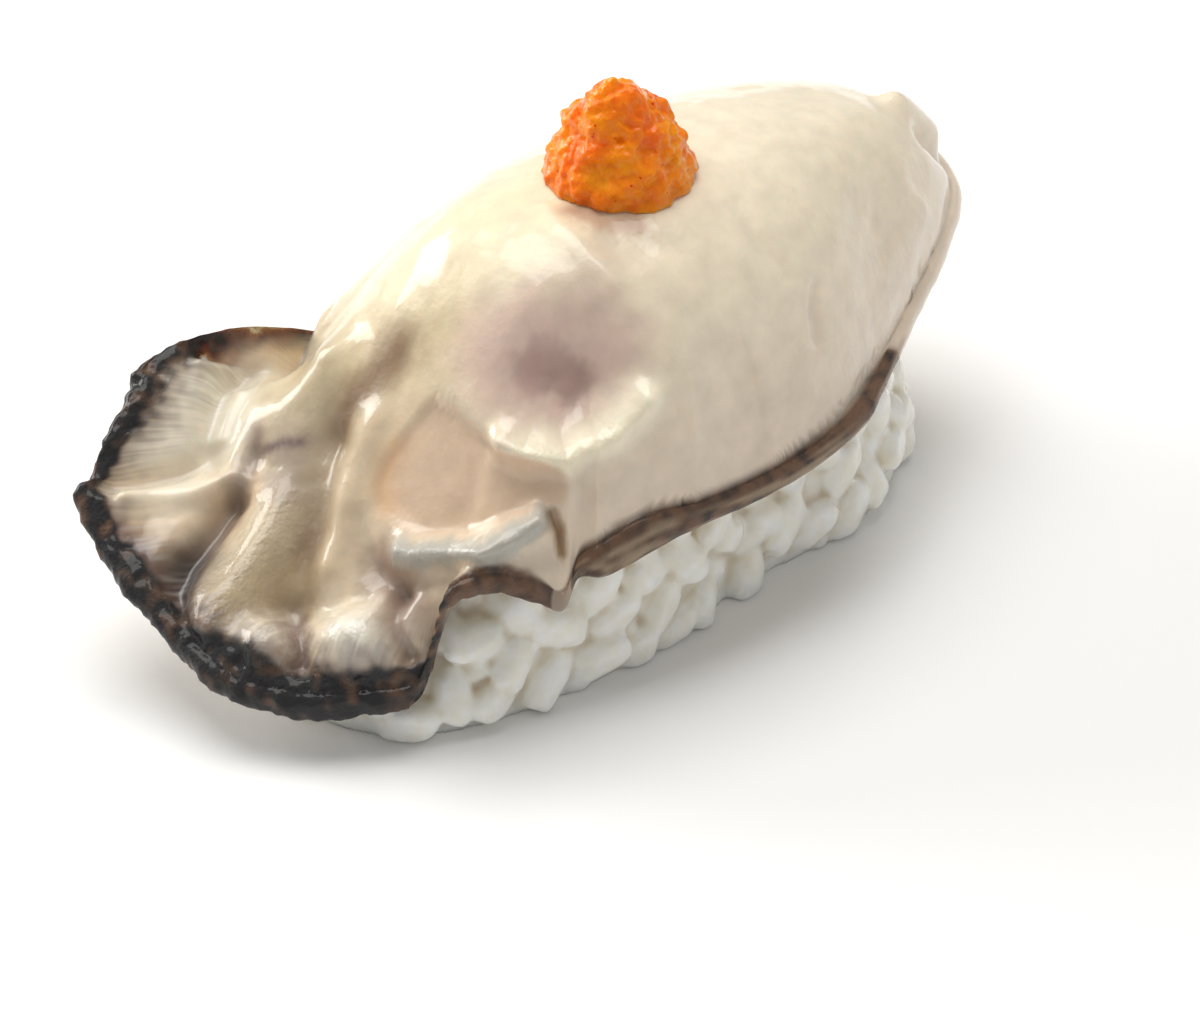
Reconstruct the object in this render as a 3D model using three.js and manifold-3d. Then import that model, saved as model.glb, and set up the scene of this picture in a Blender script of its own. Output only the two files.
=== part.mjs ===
// Oyster nigiri: a raw oyster draped over pressed vinegared rice, with a dab of grated chilli radish.
// Millimetres, +Z up. The origin is the centre of the rice's flat base; +X points to the plump belly.
import * as THREE from 'three';
import { mergeVertices } from 'three/addons/utils/BufferGeometryUtils.js';
import Module from 'manifold-3d';

const wasm = await Module();
wasm.setup();

// ---- Driving dimensions ----

// Rice: bare core, then the grains that stand out of it
const RICE_REACH_RIGHT = 33.0;       // from the middle to each end and each side
const RICE_REACH_LEFT = 31.0;
const RICE_REACH_SIDE = 16.0;
const RICE_DENT = { depth: 1.2, at: 9, reach: 8 };      // shallow dent along the front, by its x
const RICE_HEIGHT = 19.5;
const RICE_END_SINK = 9.0;           // the core is lower under the frill
const RICE_SINK_SPAN = [-10, -27];   // x where the sink starts and ends
const RICE_PLAN_POWER = [2.8, 3.2];  // how square the outline is at the left and at the right
const RICE_SQUARE_SPAN = [0, 20];    // x where it turns from one to the other
const RICE_EDGE_POWER = 3.0;
const RICE_SIDE_POWER = 0.38;
const GRAIN = [3.5, 1.8, 1.65];      // half length, half width, half thickness of a cooked short grain
const GRAIN_SINK = 0.55;             // how deep a grain's middle lies under the core's surface
const GRAIN_ROWS = [1.5, 4.6, 7.8, 10.8, 13.4];
const GRAIN_DROPS = [0, 1.4, 2.8];   // a grain that would cross the oyster is tried this much lower
const GRAIN_LOWEST = 0.9;            // least height of a grain's middle
const GRAIN_SPACING = 6.3;
const RICE_ROUND = 152;              // length of a row round the core
const GRAIN_SHIFT = 0.35;            // greatest random change along the row, as a share of the spacing
const GRAIN_TILT = 0.7;              // all the ways that a grain leans, in radians
const GRAIN_SIZES = [0.92, 1.08];
const GRAIN_JITTER = 1.2;            // all the ways that a grain strays from its row
const GRAIN_ROOM = 0.5;              // between a grain and the oyster
const GRAIN_SEED = 4711;
const ROOF_CELL = 0.4;               // plan grid that holds the lowest oyster over each place
const ROOF_CELLS = 240;

// Oyster: where its skin's pole lies, how far the belly reaches, and its ridge line
const POLE = [3.4, -2.5];
const REACH_RIGHT = 41.7;
const REACH_LEFT = 42.0;
const REACH_FRONT = 17.5;
const REACH_BACK = 20.2;
const FRONT_WAIST = 2.4;             // how much shorter the reaches are beside the frill
const BACK_WAIST = 2.0;
const WAIST_SPAN = [2, -14];
const FRONT_TAPER = 0.36;            // how fast the front draws in towards the belly end
const FRONT_TAPER_FROM = 12;
const FRONT_TAPER_ROUND = 4;
const FRILL_SPAN = [-8, -30];        // x where the body starts to turn into the frill, and where it has
const BODY_POWER = 2.6;
const BELLY_DOME = [2.5, 0.58];      // powers that shape the fall from the ridge to the edge
const FRILL_DOME = [1.8, 1];
const BELLY_LOW = [14.5, 0.08];      // height of the belly's lower edge, and its rise along x
const FRILL_LOW = [26.3, 0.6, 0.4];  // the frill's lower edge: height at x = y = 0, rise along x and along y
const SEAT_LOW = 15.3;               // underside of the belly beside the rice
const SEAT_GAP = 0.6;                // between the oyster and the rice core, up and sideways
const SEAT_ROUND = 1.4;              // how softly the underside turns up over the rice
const SKIN_LEAST = 1.3;              // thinnest flesh
const FRILL_THICKNESS = 2.3;
const FRILL_UNDER_SPAN = [-20, -27]; // x where the underside leaves the rice
const EDGE_BLEND = 5.0;              // how far the rim's ups and downs reach inward
const EDGE_GRIP = 2.0;               // this near the rim the skin follows each bend of it
const RIM_EASE = 1.6;                // rim points over which the rim is evened out inside it
const RIM_HOLD = 4;                  // how late a line over the skin turns to the true rim
const PULL_POWER = 1.5;
const CROWN = [                      // x, height of the ridge
  [-42, 11], [-34, 12], [-28, 13.6], [-23, 16.8], [-18, 24.4], [-13, 31.3], [-8, 34.7],
  [-2, 36], [5, 36.2], [18, 35.8], [26, 35.7], [34, 36.1], [46, 36.6],
];

// Rim of the mantle: x, y, z of the lip's middle, its half height and its half thickness
const RIM = [
  // belly end and the back
  [42.8, 0.5, 20, 1.2, 1.2], [41.4, 6.2, 19, 1.2, 1.2], [38, 11.5, 18, 1.1, 1.1], [29, 15.5, 16, 1.1, 1],
  [20, 18, 15, 1.3, 0.9], [10, 19.3, 14.5, 1.3, 0.9], [0, 17.6, 15, 1.3, 0.9],
  [-6.6, 15.6, 16.8, 1.1, 0.9],
  // back corner of the frill
  [-11.4, 14.8, 18.9, 1, 0.9], [-15.2, 15.9, 20.6, 1, 0.9], [-18.9, 18.3, 21.2, 1, 0.9],
  [-22.9, 20.5, 20.6, 1, 1], [-26.5, 21, 20, 1, 1], [-29.5, 19.6, 18.6, 1, 1], [-32.5, 18.6, 16.4, 1, 1],
  [-34.4, 17.6, 14.2, 1, 1],
  // pointed tip and the long side of the frill
  [-36.6, 17.2, 14.6, 1, 0.9], [-37.6, 13.6, 11.8, 1, 0.9], [-37.9, 9.6, 9.9, 1, 0.9],
  [-38, 5, 7.6, 1.1, 0.9], [-37.8, 1, 6.4, 1.2, 1], [-36.8, -2.8, 5.6, 1.2, 1], [-34.1, -6.6, 5, 1.2, 1],
  [-31, -9.4, 5, 1.2, 1],
  // edge that hangs down beside the rice
  [-27.2, -11.6, 5.4, 1, 0.9], [-25.2, -11.6, 8, 0.9, 0.9], [-25, -12.2, 11, 0.9, 0.9],
  [-24.4, -12.9, 14, 0.9, 0.9],
  // tongue below the muscle
  [-21.6, -14.2, 14.6, 0.9, 0.8], [-18, -15.9, 12.8, 0.9, 0.8], [-15.8, -16.8, 11.4, 0.9, 0.8],
  [-13.7, -16.4, 13.4, 1, 0.8],
  // mantle strip along the front of the belly
  [-12.2, -17.3, 13.8, 1.6, 0.8], [-10.4, -17.8, 14.2, 1.9, 0.8], [-7, -18.6, 14.9, 1.7, 0.8],
  [-3, -19.3, 14.9, 1.1, 0.8], [3.2, -19.7, 14.6, 1, 0.8], [9.2, -20, 15, 1.1, 0.8],
  [15, -19.2, 15.6, 1, 0.9], [20.8, -16.6, 16.3, 0.9, 0.9], [26.6, -13.6, 17.3, 1, 1],
  [32.4, -10.9, 18.4, 1.1, 1.1], [39.4, -6.4, 20, 1.2, 1.2],
];

// Relief that runs along a route over the skin: route in plan, half width, height (minus is a groove)
const FOLDS = [
  { name: 'water line of the pocket', width: 1.8, height: -1.8,
    route: [[-19.7, 18], [-19.6, 17.1], [-24, 14.9], [-27.5, 13.3], [-31.8, 15.2], [-34.8, 16.5]] },
  { name: 'edge of the fold', width: 1.4, height: 1.4,
    route: [[-26.6, 9.9], [-30.2, 12.7], [-35.8, 15.8]] },
  { name: 'bank of the pocket', width: 2.5, height: 1,
    route: [[-17, 16.6], [-20.9, 12.6], [-25.6, 10.2]] },
  { name: 'deep valley', width: 1.7, height: -2.4,
    route: [[-22.9, 11.2], [-24.4, 10.2], [-30, 9], [-33.7, 8.5], [-36, 7.4], [-38.8, 4.9]] },
  { name: 'wet ridge', width: 2.5, height: 1.6,
    route: [[-16.8, 8.9], [-20.3, 9.5], [-22.7, 5.7], [-26.1, 5], [-34.1, 3.8], [-36, 3.2]] },
  { name: 'inner valley', width: 2.1, height: -1.7,
    route: [[-15.5, 2.3], [-18.6, 4.9], [-23.3, 4.6], [-25.8, 2.1], [-30.5, 0.2]] },
  { name: 'inner ridge', width: 1.7, height: 1,
    route: [[-17.1, -2.1], [-19.2, 1.6], [-21.1, 1.6], [-26.7, -0.8]] },
  { name: 'white crescent under the muscle', width: 1.4, height: 1.7,
    route: [[-21.5, -3], [-22.9, -6.6], [-21.3, -10.5], [-20.8, -13.5], [-18.5, -14.3], [-16.5, -14.7]] },
  { name: 'ridge round the heart', width: 1.5, height: 1.7,
    route: [[-16.4, -4.4], [-16.2, -8], [-15.8, -12.3], [-13.1, -14.4], [-10.9, -15.1], [-6.3, -16.3]] },
  { name: 'hollow behind the lobes', width: 1.3, height: -0.9,
    route: [[-31, -0.4], [-29.2, -3], [-27.2, -5.4]] },
  { name: 'valley between the lobes', width: 1.3, height: -1.6, route: [[-31.4, -1.7], [-33.4, -4.6]] },
  { name: 'fold of the hanging edge', width: 1.3, height: -1.2,
    route: [[-25.3, -7.7], [-26.9, -9.4], [-26.9, -10.6]] },
  { name: 'ridge below the topping', width: 1.3, height: 0.5,
    route: [[-3.4, -1.7], [-4.3, -7.4], [-4.3, -10.5]] },
  { name: 'furrow of the belly', width: 1.2, height: -0.35, route: [[10.1, -10], [10.4, -15.2]] },
  { name: 'far roll of the end', width: 1.6, height: 1.5, route: [[36, -2.6], [41, -3]] },
  { name: 'notch of the end', width: 1.2, height: -1.6, route: [[36.6, -5.4], [41.6, -4.6]] },
  { name: 'near roll of the end', width: 1.9, height: 1.5, route: [[39.4, -7.4], [35.8, -9.6]] },
];
const FOLD_LEAST = 2.1;              // narrower folds are widened to this for the facets, and lowered
const SKIN_SAMPLES = [300, 120];     // round and inward, where the plain skin's height is looked up
const RELIEF_EDGE = 1.6;             // relief dies out this near to the rim
const FACING_INSET = 0.03;           // relief stands out as the body faces this much nearer the pole

// Rounded swellings and hollows: middle in plan, radius, height and how flat the middle is
const SWELLINGS = [
  { name: 'hollow over the heart', at: [-10.6, -12.6], radius: 5, height: -3.2, power: 2.2 },
  { name: 'large lobe', at: [-28.8, -7.1], radius: 3.5, height: 1.8, power: 2 },
  { name: 'small lobe', at: [-33.8, -1.6], radius: 2.5, height: 1.4, power: 2 },
  { name: 'hollow below the topping', at: [-0.5, -9], radius: 3.4, height: -0.6, power: 2 },
  { name: 'shoulder', at: [-9.3, 3], radius: 5.5, height: 0.6, power: 2 },
  { name: 'hollow of the belly end', at: [24.6, -12], radius: 6, height: -0.9, power: 2 },
  { name: 'hollow above the lobes', at: [-25.6, -5], radius: 3, height: -0.9, power: 2 },
];

// Muscle: a flat cut face, a little sunk; its outline runs across and up, square to the face
const MUSCLE = {
  middle: [-18.3, -8.3],
  facing: [-0.8, -0.28, 0.53],
  outline: [[-4.6, 4.8], [-7.7, -1], [-8.2, -3.4], [-6.1, -5.4], [-1.6, -6], [4.5, -3], [7.9, -0.8],
    [7.9, 1.5], [5.2, 2.3], [0.8, 2.9], [-2.5, 4.5]],
  reach: 4.5,                        // the outline acts this far in front of and behind the face
  step: [-1.1, 1.3],                 // from outside to inside the outline
  sink: 0.9,
  flatten: 0.45,                     // how much of the body's curve the face takes away
  flattenMost: 2.5,
};

// Topping: a lumpy cone of grated radish
const TOPPING_AT = [5.0, -1.8];
const TOPPING_RADIUS = 6.2;
const TOPPING_HEIGHT = 9.3;
const TOPPING_LEAN = [-1.3, -0.8];
const TOPPING_GAP = 0.45;
const TOPPING_TAPER = [1.7, 0.8];    // powers that shape the cone's side
const TOPPING_LEAN_POWER = 1.5;
const TOPPING_FOOT = [0.94, 0.5];    // rings of the underside, as shares of the radius
const TOPPING_FOOT_INSET = 0.3;
const TOPPING_SEED = 1931;
const LUMPS = {
  count: 60,
  crowd: 0.8,                        // below 1 there are more of them near the tip
  sizes: [0.14, 0.24],               // as shares of the turn in radians and of the height
  heights: [-0.28, 0.6],
  least: -0.44,                      // where several meet, their sum stays between these
  most: 0.83,
  narrowing: 0.7,                    // how much of a turn's breadth is lost at the tip
  upright: 1.5,
};

// Fineness of the faceted solids
const OYSTER_ROUND = 96;
const OYSTER_TOP_RINGS = 26;
const RING_CROWD = 1.15;             // above 1 the rings lie closer together towards the rim
const OYSTER_LIP_ANGLES = [90, 30, -30, -90];
const OYSTER_UNDER_RINGS = [0.91, 0.81, 0.68, 0.5, 0.25];
const OUTLINE_STEPS = 720;           // of the core's outline, to spread the grains evenly along it
const MERGE = 1e-4;                  // corners this close together are one
const TABLE_SIDE = 200;              // block that cuts the rice flat at the base
const CORE_ROUND = 40;
const CORE_RINGS = [0.26, 0.5, 0.7, 0.84, 0.93, 0.985, 1];
const GRAIN_SIDES = [6, 3];
const PROBE_SIDES = [8, 6];          // finer grain that is tried against the oyster
const TOPPING_ROUND = 30;
const TOPPING_RINGS = 15;

// ---- Small maths ----

const clamp = (v, low, high) => Math.min(high, Math.max(low, v));
const mix = (a, b, share) => a + (b - a) * share;

function smooth(from, to, v) {
  const u = clamp((v - from) / (to - from), 0, 1);
  return u * u * (3 - 2 * u);
}

// The larger of two heights, with the corner between them rounded
const softMax = (a, b, round) => (a + b + Math.hypot(a - b, round)) / 2;

// Random draws that are the same on every run
function makeDraw(seed) {
  let state = seed;
  return () => {
    state = (state * 16807) % 2147483647;
    return state / 2147483647;
  };
}

// Smooth height along uneven stations
function stationCurve(stations, x) {
  const last = stations.length - 2;
  let i = stations.findIndex(([at], k) => k > 0 && x <= at) - 1;
  if (i < 0) i = x < stations[0][0] ? 0 : last;
  const slope = (k) => {
    if (k === 0 || k === last + 1) return 0;
    return (stations[k + 1][1] - stations[k - 1][1]) / (stations[k + 1][0] - stations[k - 1][0]);
  };
  const [x0, z0] = stations[i];
  const [x1, z1] = stations[i + 1];
  const span = x1 - x0;
  const u = clamp((x - x0) / span, 0, 1);
  const u2 = u * u;
  const u3 = u2 * u;
  return (2 * u3 - 3 * u2 + 1) * z0 + (u3 - 2 * u2 + u) * span * slope(i)
    + (3 * u2 - 2 * u3) * z1 + (u3 - u2) * span * slope(i + 1);
}

// ---- Rice core ----

const riceReach = (x) => (x > 0 ? RICE_REACH_RIGHT : RICE_REACH_LEFT);

// Share of the way from the core's middle to its outline, 1 on the outline
function riceShare(x, y) {
  const dent = RICE_DENT.depth * Math.exp(-(((x - RICE_DENT.at) / RICE_DENT.reach) ** 2));
  const halfWidth = y < 0 ? RICE_REACH_SIDE - dent : RICE_REACH_SIDE;
  const power = mix(...RICE_PLAN_POWER, smooth(...RICE_SQUARE_SPAN, x));
  const along = Math.abs(x / riceReach(x)) ** power;
  const across = Math.abs(y / halfWidth) ** power;
  return (along + across) ** (1 / power);
}

// The last value between low and high that still passes a test, by halving
function lastThat(passes, low, high) {
  let [least, most] = [low, high];
  for (let halving = 0; halving < 30; halving += 1) {
    const middle = (least + most) / 2;
    if (passes(middle)) least = middle;
    else most = middle;
  }
  return least;
}

// Distance from the core's middle to its outline in a direction
function coreReach(angle) {
  const isIn = (away) => riceShare(away * Math.cos(angle), away * Math.sin(angle)) < 1;
  return lastThat(isIn, 0, 2 * RICE_REACH_RIGHT);
}

function riceTop(x, y) {
  const height = RICE_HEIGHT - RICE_END_SINK * smooth(...RICE_SINK_SPAN, x);
  const rest = clamp(1 - riceShare(x, y) ** RICE_EDGE_POWER, 0, 1);
  return height * rest ** RICE_SIDE_POWER;
}

// The oyster's seat: the core grown by the gap
function seatTop(x, y) {
  const growX = riceReach(x) / (riceReach(x) + SEAT_GAP);
  const growY = RICE_REACH_SIDE / (RICE_REACH_SIDE + SEAT_GAP);
  return riceTop(x * growX, y * growY) + SEAT_GAP;
}

// ---- Oyster form ----

// Lip at a share t of the way round the rim
function rimAt(t) {
  const n = RIM.length;
  const s = (((t % 1) + 1) % 1) * n;
  const i = Math.floor(s) % n;
  const f = s - Math.floor(s);
  const [p0, p1, p2, p3] = [-1, 0, 1, 2].map((k) => RIM[(i + k + n) % n]);
  return p1.map((_, c) => 0.5 * (2 * p1[c] + (p2[c] - p0[c]) * f
    + (2 * p0[c] - 5 * p1[c] + 4 * p2[c] - p3[c]) * f * f
    + (3 * p1[c] - p0[c] - 3 * p2[c] + p3[c]) * f * f * f));
}

// 0 over the plump belly, 1 over the thin frill
const frillShare = (x) => smooth(...FRILL_SPAN, x);

// Height of the plain upper skin over the plan
function bodyHeight(x, y) {
  const frill = frillShare(x);
  const waist = smooth(...WAIST_SPAN, x);
  const dx = x - POLE[0];
  const dy = y - POLE[1];
  const taper = FRONT_TAPER * softMax(x - FRONT_TAPER_FROM, 0, FRONT_TAPER_ROUND);
  const reachX = dx > 0 ? REACH_RIGHT : REACH_LEFT;
  const reachY = dy > 0 ? REACH_BACK - BACK_WAIST * waist : REACH_FRONT - FRONT_WAIST * waist - taper;
  const along = Math.abs(dx / reachX) ** BODY_POWER;
  const across = Math.abs(dy / reachY) ** BODY_POWER;
  const share = (along + across) ** (1 / BODY_POWER);
  const [inner, outer] = BELLY_DOME.map((power, k) => mix(power, FRILL_DOME[k], frill));
  const fall = clamp(1 - share ** inner, 0, 1) ** outer;
  const bellyLow = BELLY_LOW[0] + BELLY_LOW[1] * Math.max(x, 0);
  const frillLow = FRILL_LOW[0] + FRILL_LOW[1] * x + FRILL_LOW[2] * y;
  const low = mix(bellyLow, frillLow, frill);
  return low + (stationCurve(CROWN, x) - low) * fall;
}

// Way out of the body, as it lies over a small patch
function bodyNormal(x, y) {
  const e = 0.8;
  return new THREE.Vector3(
    bodyHeight(x - e, y) - bodyHeight(x + e, y),
    bodyHeight(x, y - e) - bodyHeight(x, y + e),
    2 * e,
  ).normalize();
}

// Weights of the rim points for an evened rim, which gives the skin's inner lines their even spread
function evenWeights(t) {
  const weights = RIM.map((_, i) => {
    const away = Math.abs(t * RIM.length - i);
    return Math.exp(-((Math.min(away, RIM.length - away) / RIM_EASE) ** 2));
  });
  const total = weights.reduce((a, b) => a + b);
  return weights.map((weight) => weight / total);
}

const weighted = (weights, values) => weights.reduce((sum, weight, i) => sum + weight * values[i], 0);

// Place in plan between the pole (rho 0) and the rim (rho 1), its distance from the rim, and the lip there
function planPlace(t, rho) {
  const rim = rimAt(t);
  const weights = evenWeights(t);
  const [x, y] = POLE.map((pole, axis) => {
    const even = weighted(weights, RIM.map((point) => point[axis]));
    return pole + rho * (even - pole) + rho ** RIM_HOLD * (rim[axis] - even);
  });
  return { x, y, rim, weights, inward: Math.hypot(rim[0] - x, rim[1] - y) };
}

// Height that joins a skin to the lip: each bend of it close to the rim, its evened course further in
function pullToRim({ inward, weights }, step, steps) {
  const grip = Math.exp(-((inward / EDGE_GRIP) ** PULL_POWER));
  const blend = Math.exp(-((inward / EDGE_BLEND) ** PULL_POWER));
  return step * grip + weighted(weights, steps) * (blend - grip);
}

const upperStep = ([x, y, z, lipHeight]) => z + lipHeight - bodyHeight(x, y);
const upperSteps = RIM.map(upperStep);

// Plain skin between the pole and the rim's upper edge
function plainSkin(t, rho) {
  const place = planPlace(t, rho);
  const lift = pullToRim(place, upperStep(place.rim), upperSteps);
  const z = bodyHeight(place.x, place.y) + lift;
  return { point: new THREE.Vector3(place.x, place.y, z), inward: place.inward };
}

// Points all over the plain skin, to find its height over a place in plan
const plainPoints = [];
for (let i = 0; i < SKIN_SAMPLES[0]; i += 1) {
  for (let k = 0; k <= SKIN_SAMPLES[1]; k += 1) {
    plainPoints.push(plainSkin(i / SKIN_SAMPLES[0], k / SKIN_SAMPLES[1]).point);
  }
}

// A place in plan, laid on the plain skin
function onSkin([x, y]) {
  const away = (point) => Math.hypot(point.x - x, point.y - y);
  return plainPoints.reduce((best, point) => (away(point) < away(best) ? point : best));
}

const folds = FOLDS.map(({ route, width, height }) => {
  const wide = Math.max(width, FOLD_LEAST);
  return { line: route.map(onSkin), width: wide, height: (height * width) / wide };
});
const swellings = SWELLINGS.map((swelling) => ({ ...swelling, middle: onSkin(swelling.at) }));
const muscleLoop = [...MUSCLE.outline, MUSCLE.outline[0]].map(([x, y]) => new THREE.Vector3(x, y, 0));
const muscleFacing = new THREE.Vector3(...MUSCLE.facing).normalize();
const muscleMiddle = onSkin(MUSCLE.middle);
const muscleSide = new THREE.Vector3(-muscleFacing.y, muscleFacing.x, 0).normalize();
const muscleUp = muscleFacing.clone().cross(muscleSide);

// Whether a point in plan lies inside an outline
function isInside(point, outline) {
  let inside = false;
  outline.forEach(([ax, ay], i) => {
    const [bx, by] = outline[(i + 1) % outline.length];
    const crosses = (ay > point.y) !== (by > point.y);
    if (crosses && point.x < ax + ((bx - ax) * (point.y - ay)) / (by - ay)) inside = !inside;
  });
  return inside;
}

function distanceToLine(point, line) {
  const near = new THREE.Vector3();
  const piece = new THREE.Line3();
  let best = Infinity;
  for (let i = 0; i + 1 < line.length; i += 1) {
    piece.set(line[i], line[i + 1]).closestPointToPoint(point, true, near);
    best = Math.min(best, near.distanceTo(point));
  }
  return best;
}

// How far the flat face of the muscle takes the skin in
function muscleDip(point) {
  const away = point.clone().sub(muscleMiddle);
  const front = away.dot(muscleFacing);
  if (Math.abs(front) > MUSCLE.reach) return 0;
  const flat = new THREE.Vector3(away.dot(muscleSide), away.dot(muscleUp), 0);
  const inside = isInside(flat, MUSCLE.outline) ? 1 : -1;
  const most = MUSCLE.flattenMost;
  const depth = MUSCLE.sink + MUSCLE.flatten * clamp(front, -most, most);
  return depth * smooth(...MUSCLE.step, inside * distanceToLine(flat, muscleLoop));
}

// How far the finished skin stands out of the plain one
function relief(point) {
  let height = 0;
  for (const fold of folds) {
    height += fold.height * Math.exp(-((distanceToLine(point, fold.line) / fold.width) ** 2));
  }
  for (const swelling of swellings) {
    const away = point.distanceTo(swelling.middle) / swelling.radius;
    height += swelling.height * Math.exp(-(away ** swelling.power));
  }
  return height - muscleDip(point);
}

function upperSkin(t, rho) {
  const { point, inward } = plainSkin(t, rho);
  const out = bodyNormal(mix(point.x, POLE[0], FACING_INSET), mix(point.y, POLE[1], FACING_INSET));
  return point.clone().addScaledVector(out, relief(point) * smooth(0, RELIEF_EDGE, inward));
}

// Underside: thin below the frill, resting on the rice below the belly
function underHeight(x, y) {
  const free = mix(SEAT_LOW, bodyHeight(x, y) - FRILL_THICKNESS, smooth(...FRILL_UNDER_SPAN, x));
  return softMax(free, seatTop(x, y), SEAT_ROUND);
}

const underStep = ([x, y, z, lipHeight]) => z - lipHeight - underHeight(x, y);
const underSteps = RIM.map(underStep);

// Underside below a skin point `top` at the same place in plan
function underSkin(t, rho, top) {
  const place = planPlace(t, rho);
  const { x, y, inward } = place;
  const free = underHeight(x, y) + pullToRim(place, underStep(place.rim), underSteps);
  const round = SEAT_ROUND * (1 - Math.exp(-((inward / EDGE_BLEND) ** PULL_POWER)));
  return new THREE.Vector3(x, y, Math.min(softMax(free, seatTop(x, y), round), top.z - SKIN_LEAST));
}

// ---- Closed meshes ----

// A closed skin from its top point, down through rings of points that run anticlockwise, to its bottom point;
// each four-cornered patch is cut along its shorter diagonal
function ringSkin(first, rings, last) {
  const count = rings[0].length;
  const points = [first, ...rings.flat(), last];
  const index = [];
  for (let i = 0; i < count; i += 1) {
    const j = (i + 1) % count;
    index.push(0, 1 + i, 1 + j);
    for (let k = 0; k + 1 < rings.length; k += 1) {
      const a = 1 + k * count;
      const b = a + count;
      const down = points[a + i].distanceTo(points[b + j]);
      const up = points[b + i].distanceTo(points[a + j]);
      if (down < up) index.push(a + i, b + i, b + j, a + i, b + j, a + j);
      else index.push(a + i, b + i, a + j, b + i, b + j, a + j);
    }
    const end = 1 + (rings.length - 1) * count;
    index.push(end + i, points.length - 1, end + j);
  }
  const geometry = new THREE.BufferGeometry();
  geometry.setAttribute('position', new THREE.Float32BufferAttribute(points.flatMap((p) => p.toArray()), 3));
  geometry.setIndex(index);
  return geometry;
}

function toSolid(geometry) {
  const bare = geometry.clone();
  bare.deleteAttribute('normal');
  bare.deleteAttribute('uv');
  const merged = mergeVertices(bare, MERGE);
  return new wasm.Manifold(new wasm.Mesh({
    numProp: 3,
    vertProperties: new Float32Array(merged.attributes.position.array),
    triVerts: new Uint32Array(merged.index.array),
  }));
}

function fromSolid(solid) {
  const { vertProperties, triVerts } = solid.getMesh();
  const geometry = new THREE.BufferGeometry();
  geometry.setAttribute('position', new THREE.BufferAttribute(vertProperties, 3));
  geometry.setIndex(new THREE.BufferAttribute(triVerts, 1));
  return geometry;
}

// The outer skin alone, with sealed hollows filled and loose scraps dropped
function outerSkin(solid) {
  return solid.decompose().reduce((best, part) => (part.volume() > best.volume() ? part : best));
}

// The way out of the rim in plan, as long as the lip's half thickness times a share
function lipOut([x, y, , , lipThickness], share) {
  return new THREE.Vector3(x - POLE[0], y - POLE[1], 0).setLength(lipThickness * share);
}

function makeOyster() {
  const steps = Array.from({ length: OYSTER_ROUND }, (_, i) => i / OYSTER_ROUND);
  const rings = [];
  for (let k = 1; k < OYSTER_TOP_RINGS; k += 1) {
    const rho = 1 - (1 - k / OYSTER_TOP_RINGS) ** RING_CROWD;
    rings.push(steps.map((t) => upperSkin(t, rho)));
  }
  for (const degrees of OYSTER_LIP_ANGLES) {
    const angle = THREE.MathUtils.degToRad(degrees);
    rings.push(steps.map((t) => {
      const rim = rimAt(t);
      const [x, y, z, lipHeight] = rim;
      return new THREE.Vector3(x, y, z + lipHeight * Math.sin(angle)).add(lipOut(rim, Math.cos(angle)));
    }));
  }
  for (const rho of OYSTER_UNDER_RINGS) {
    rings.push(steps.map((t) => underSkin(t, rho, upperSkin(t, rho))));
  }
  const top = upperSkin(0, 0);
  return ringSkin(top, rings, underSkin(0, 0, top));
}

// ---- Rice ----

// Direction of the place that lies a share of the way along the core's outline
const outlineAngles = Array.from({ length: OUTLINE_STEPS + 1 }, (_, i) => (2 * Math.PI * i) / OUTLINE_STEPS);
const outlineLengths = outlineAngles.reduce((lengths, angle, i) => {
  if (i === 0) return [0];
  const [before, after] = [outlineAngles[i - 1], angle].map((a) => {
    return new THREE.Vector2(Math.cos(a), Math.sin(a)).multiplyScalar(coreReach(a));
  });
  return [...lengths, lengths[i - 1] + before.distanceTo(after)];
}, []);

function angleAlong(share) {
  const whole = outlineLengths[OUTLINE_STEPS];
  const along = (((share % 1) + 1) % 1) * whole;
  return outlineAngles[outlineLengths.findIndex((length) => length >= along)];
}

function makeCore() {
  const angles = Array.from({ length: CORE_ROUND }, (_, i) => (2 * Math.PI * i) / CORE_ROUND);
  const rings = CORE_RINGS.map((share) => angles.map((angle) => {
    const x = share * coreReach(angle) * Math.cos(angle);
    const y = share * coreReach(angle) * Math.sin(angle);
    return new THREE.Vector3(x, y, share === 1 ? 0 : riceTop(x, y));
  }));
  return ringSkin(new THREE.Vector3(0, 0, riceTop(0, 0)), rings, new THREE.Vector3(0, 0, 0));
}

// Plan grid with the lowest oyster over each place
const roof = new Float32Array(ROOF_CELLS * ROOF_CELLS).fill(Infinity);
const roofIndex = (v) => clamp(Math.floor(v / ROOF_CELL + ROOF_CELLS / 2), 0, ROOF_CELLS - 1);
const roofCell = (x, y) => roofIndex(x) * ROOF_CELLS + roofIndex(y);

function coverRoof({ x, y, z }) {
  const cell = roofCell(x, y);
  roof[cell] = Math.min(roof[cell], z);
}

function raiseRoof() {
  const aroundSteps = 1200;
  const inwardSteps = 110;
  for (let i = 0; i < aroundSteps; i += 1) {
    const t = i / aroundSteps;
    for (let k = 0; k <= inwardSteps; k += 1) {
      const rho = k / inwardSteps;
      coverRoof(underSkin(t, rho, plainSkin(t, rho).point));
    }
    const rim = rimAt(t);
    const [x, y, z, lipHeight] = rim;
    for (const share of [0.5, 1]) {
      coverRoof(new THREE.Vector3(x, y, z - lipHeight).add(lipOut(rim, share)));
    }
  }
}

// True where a point is clear below the oyster or beside it, with room to spare
function isClear(point, room) {
  const steps = [-room, 0, room];
  const below = (dx, dy) => point.z + room < roof[roofCell(point.x + dx, point.y + dy)];
  return steps.every((dx) => steps.every((dy) => below(dx, dy)));
}

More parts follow.
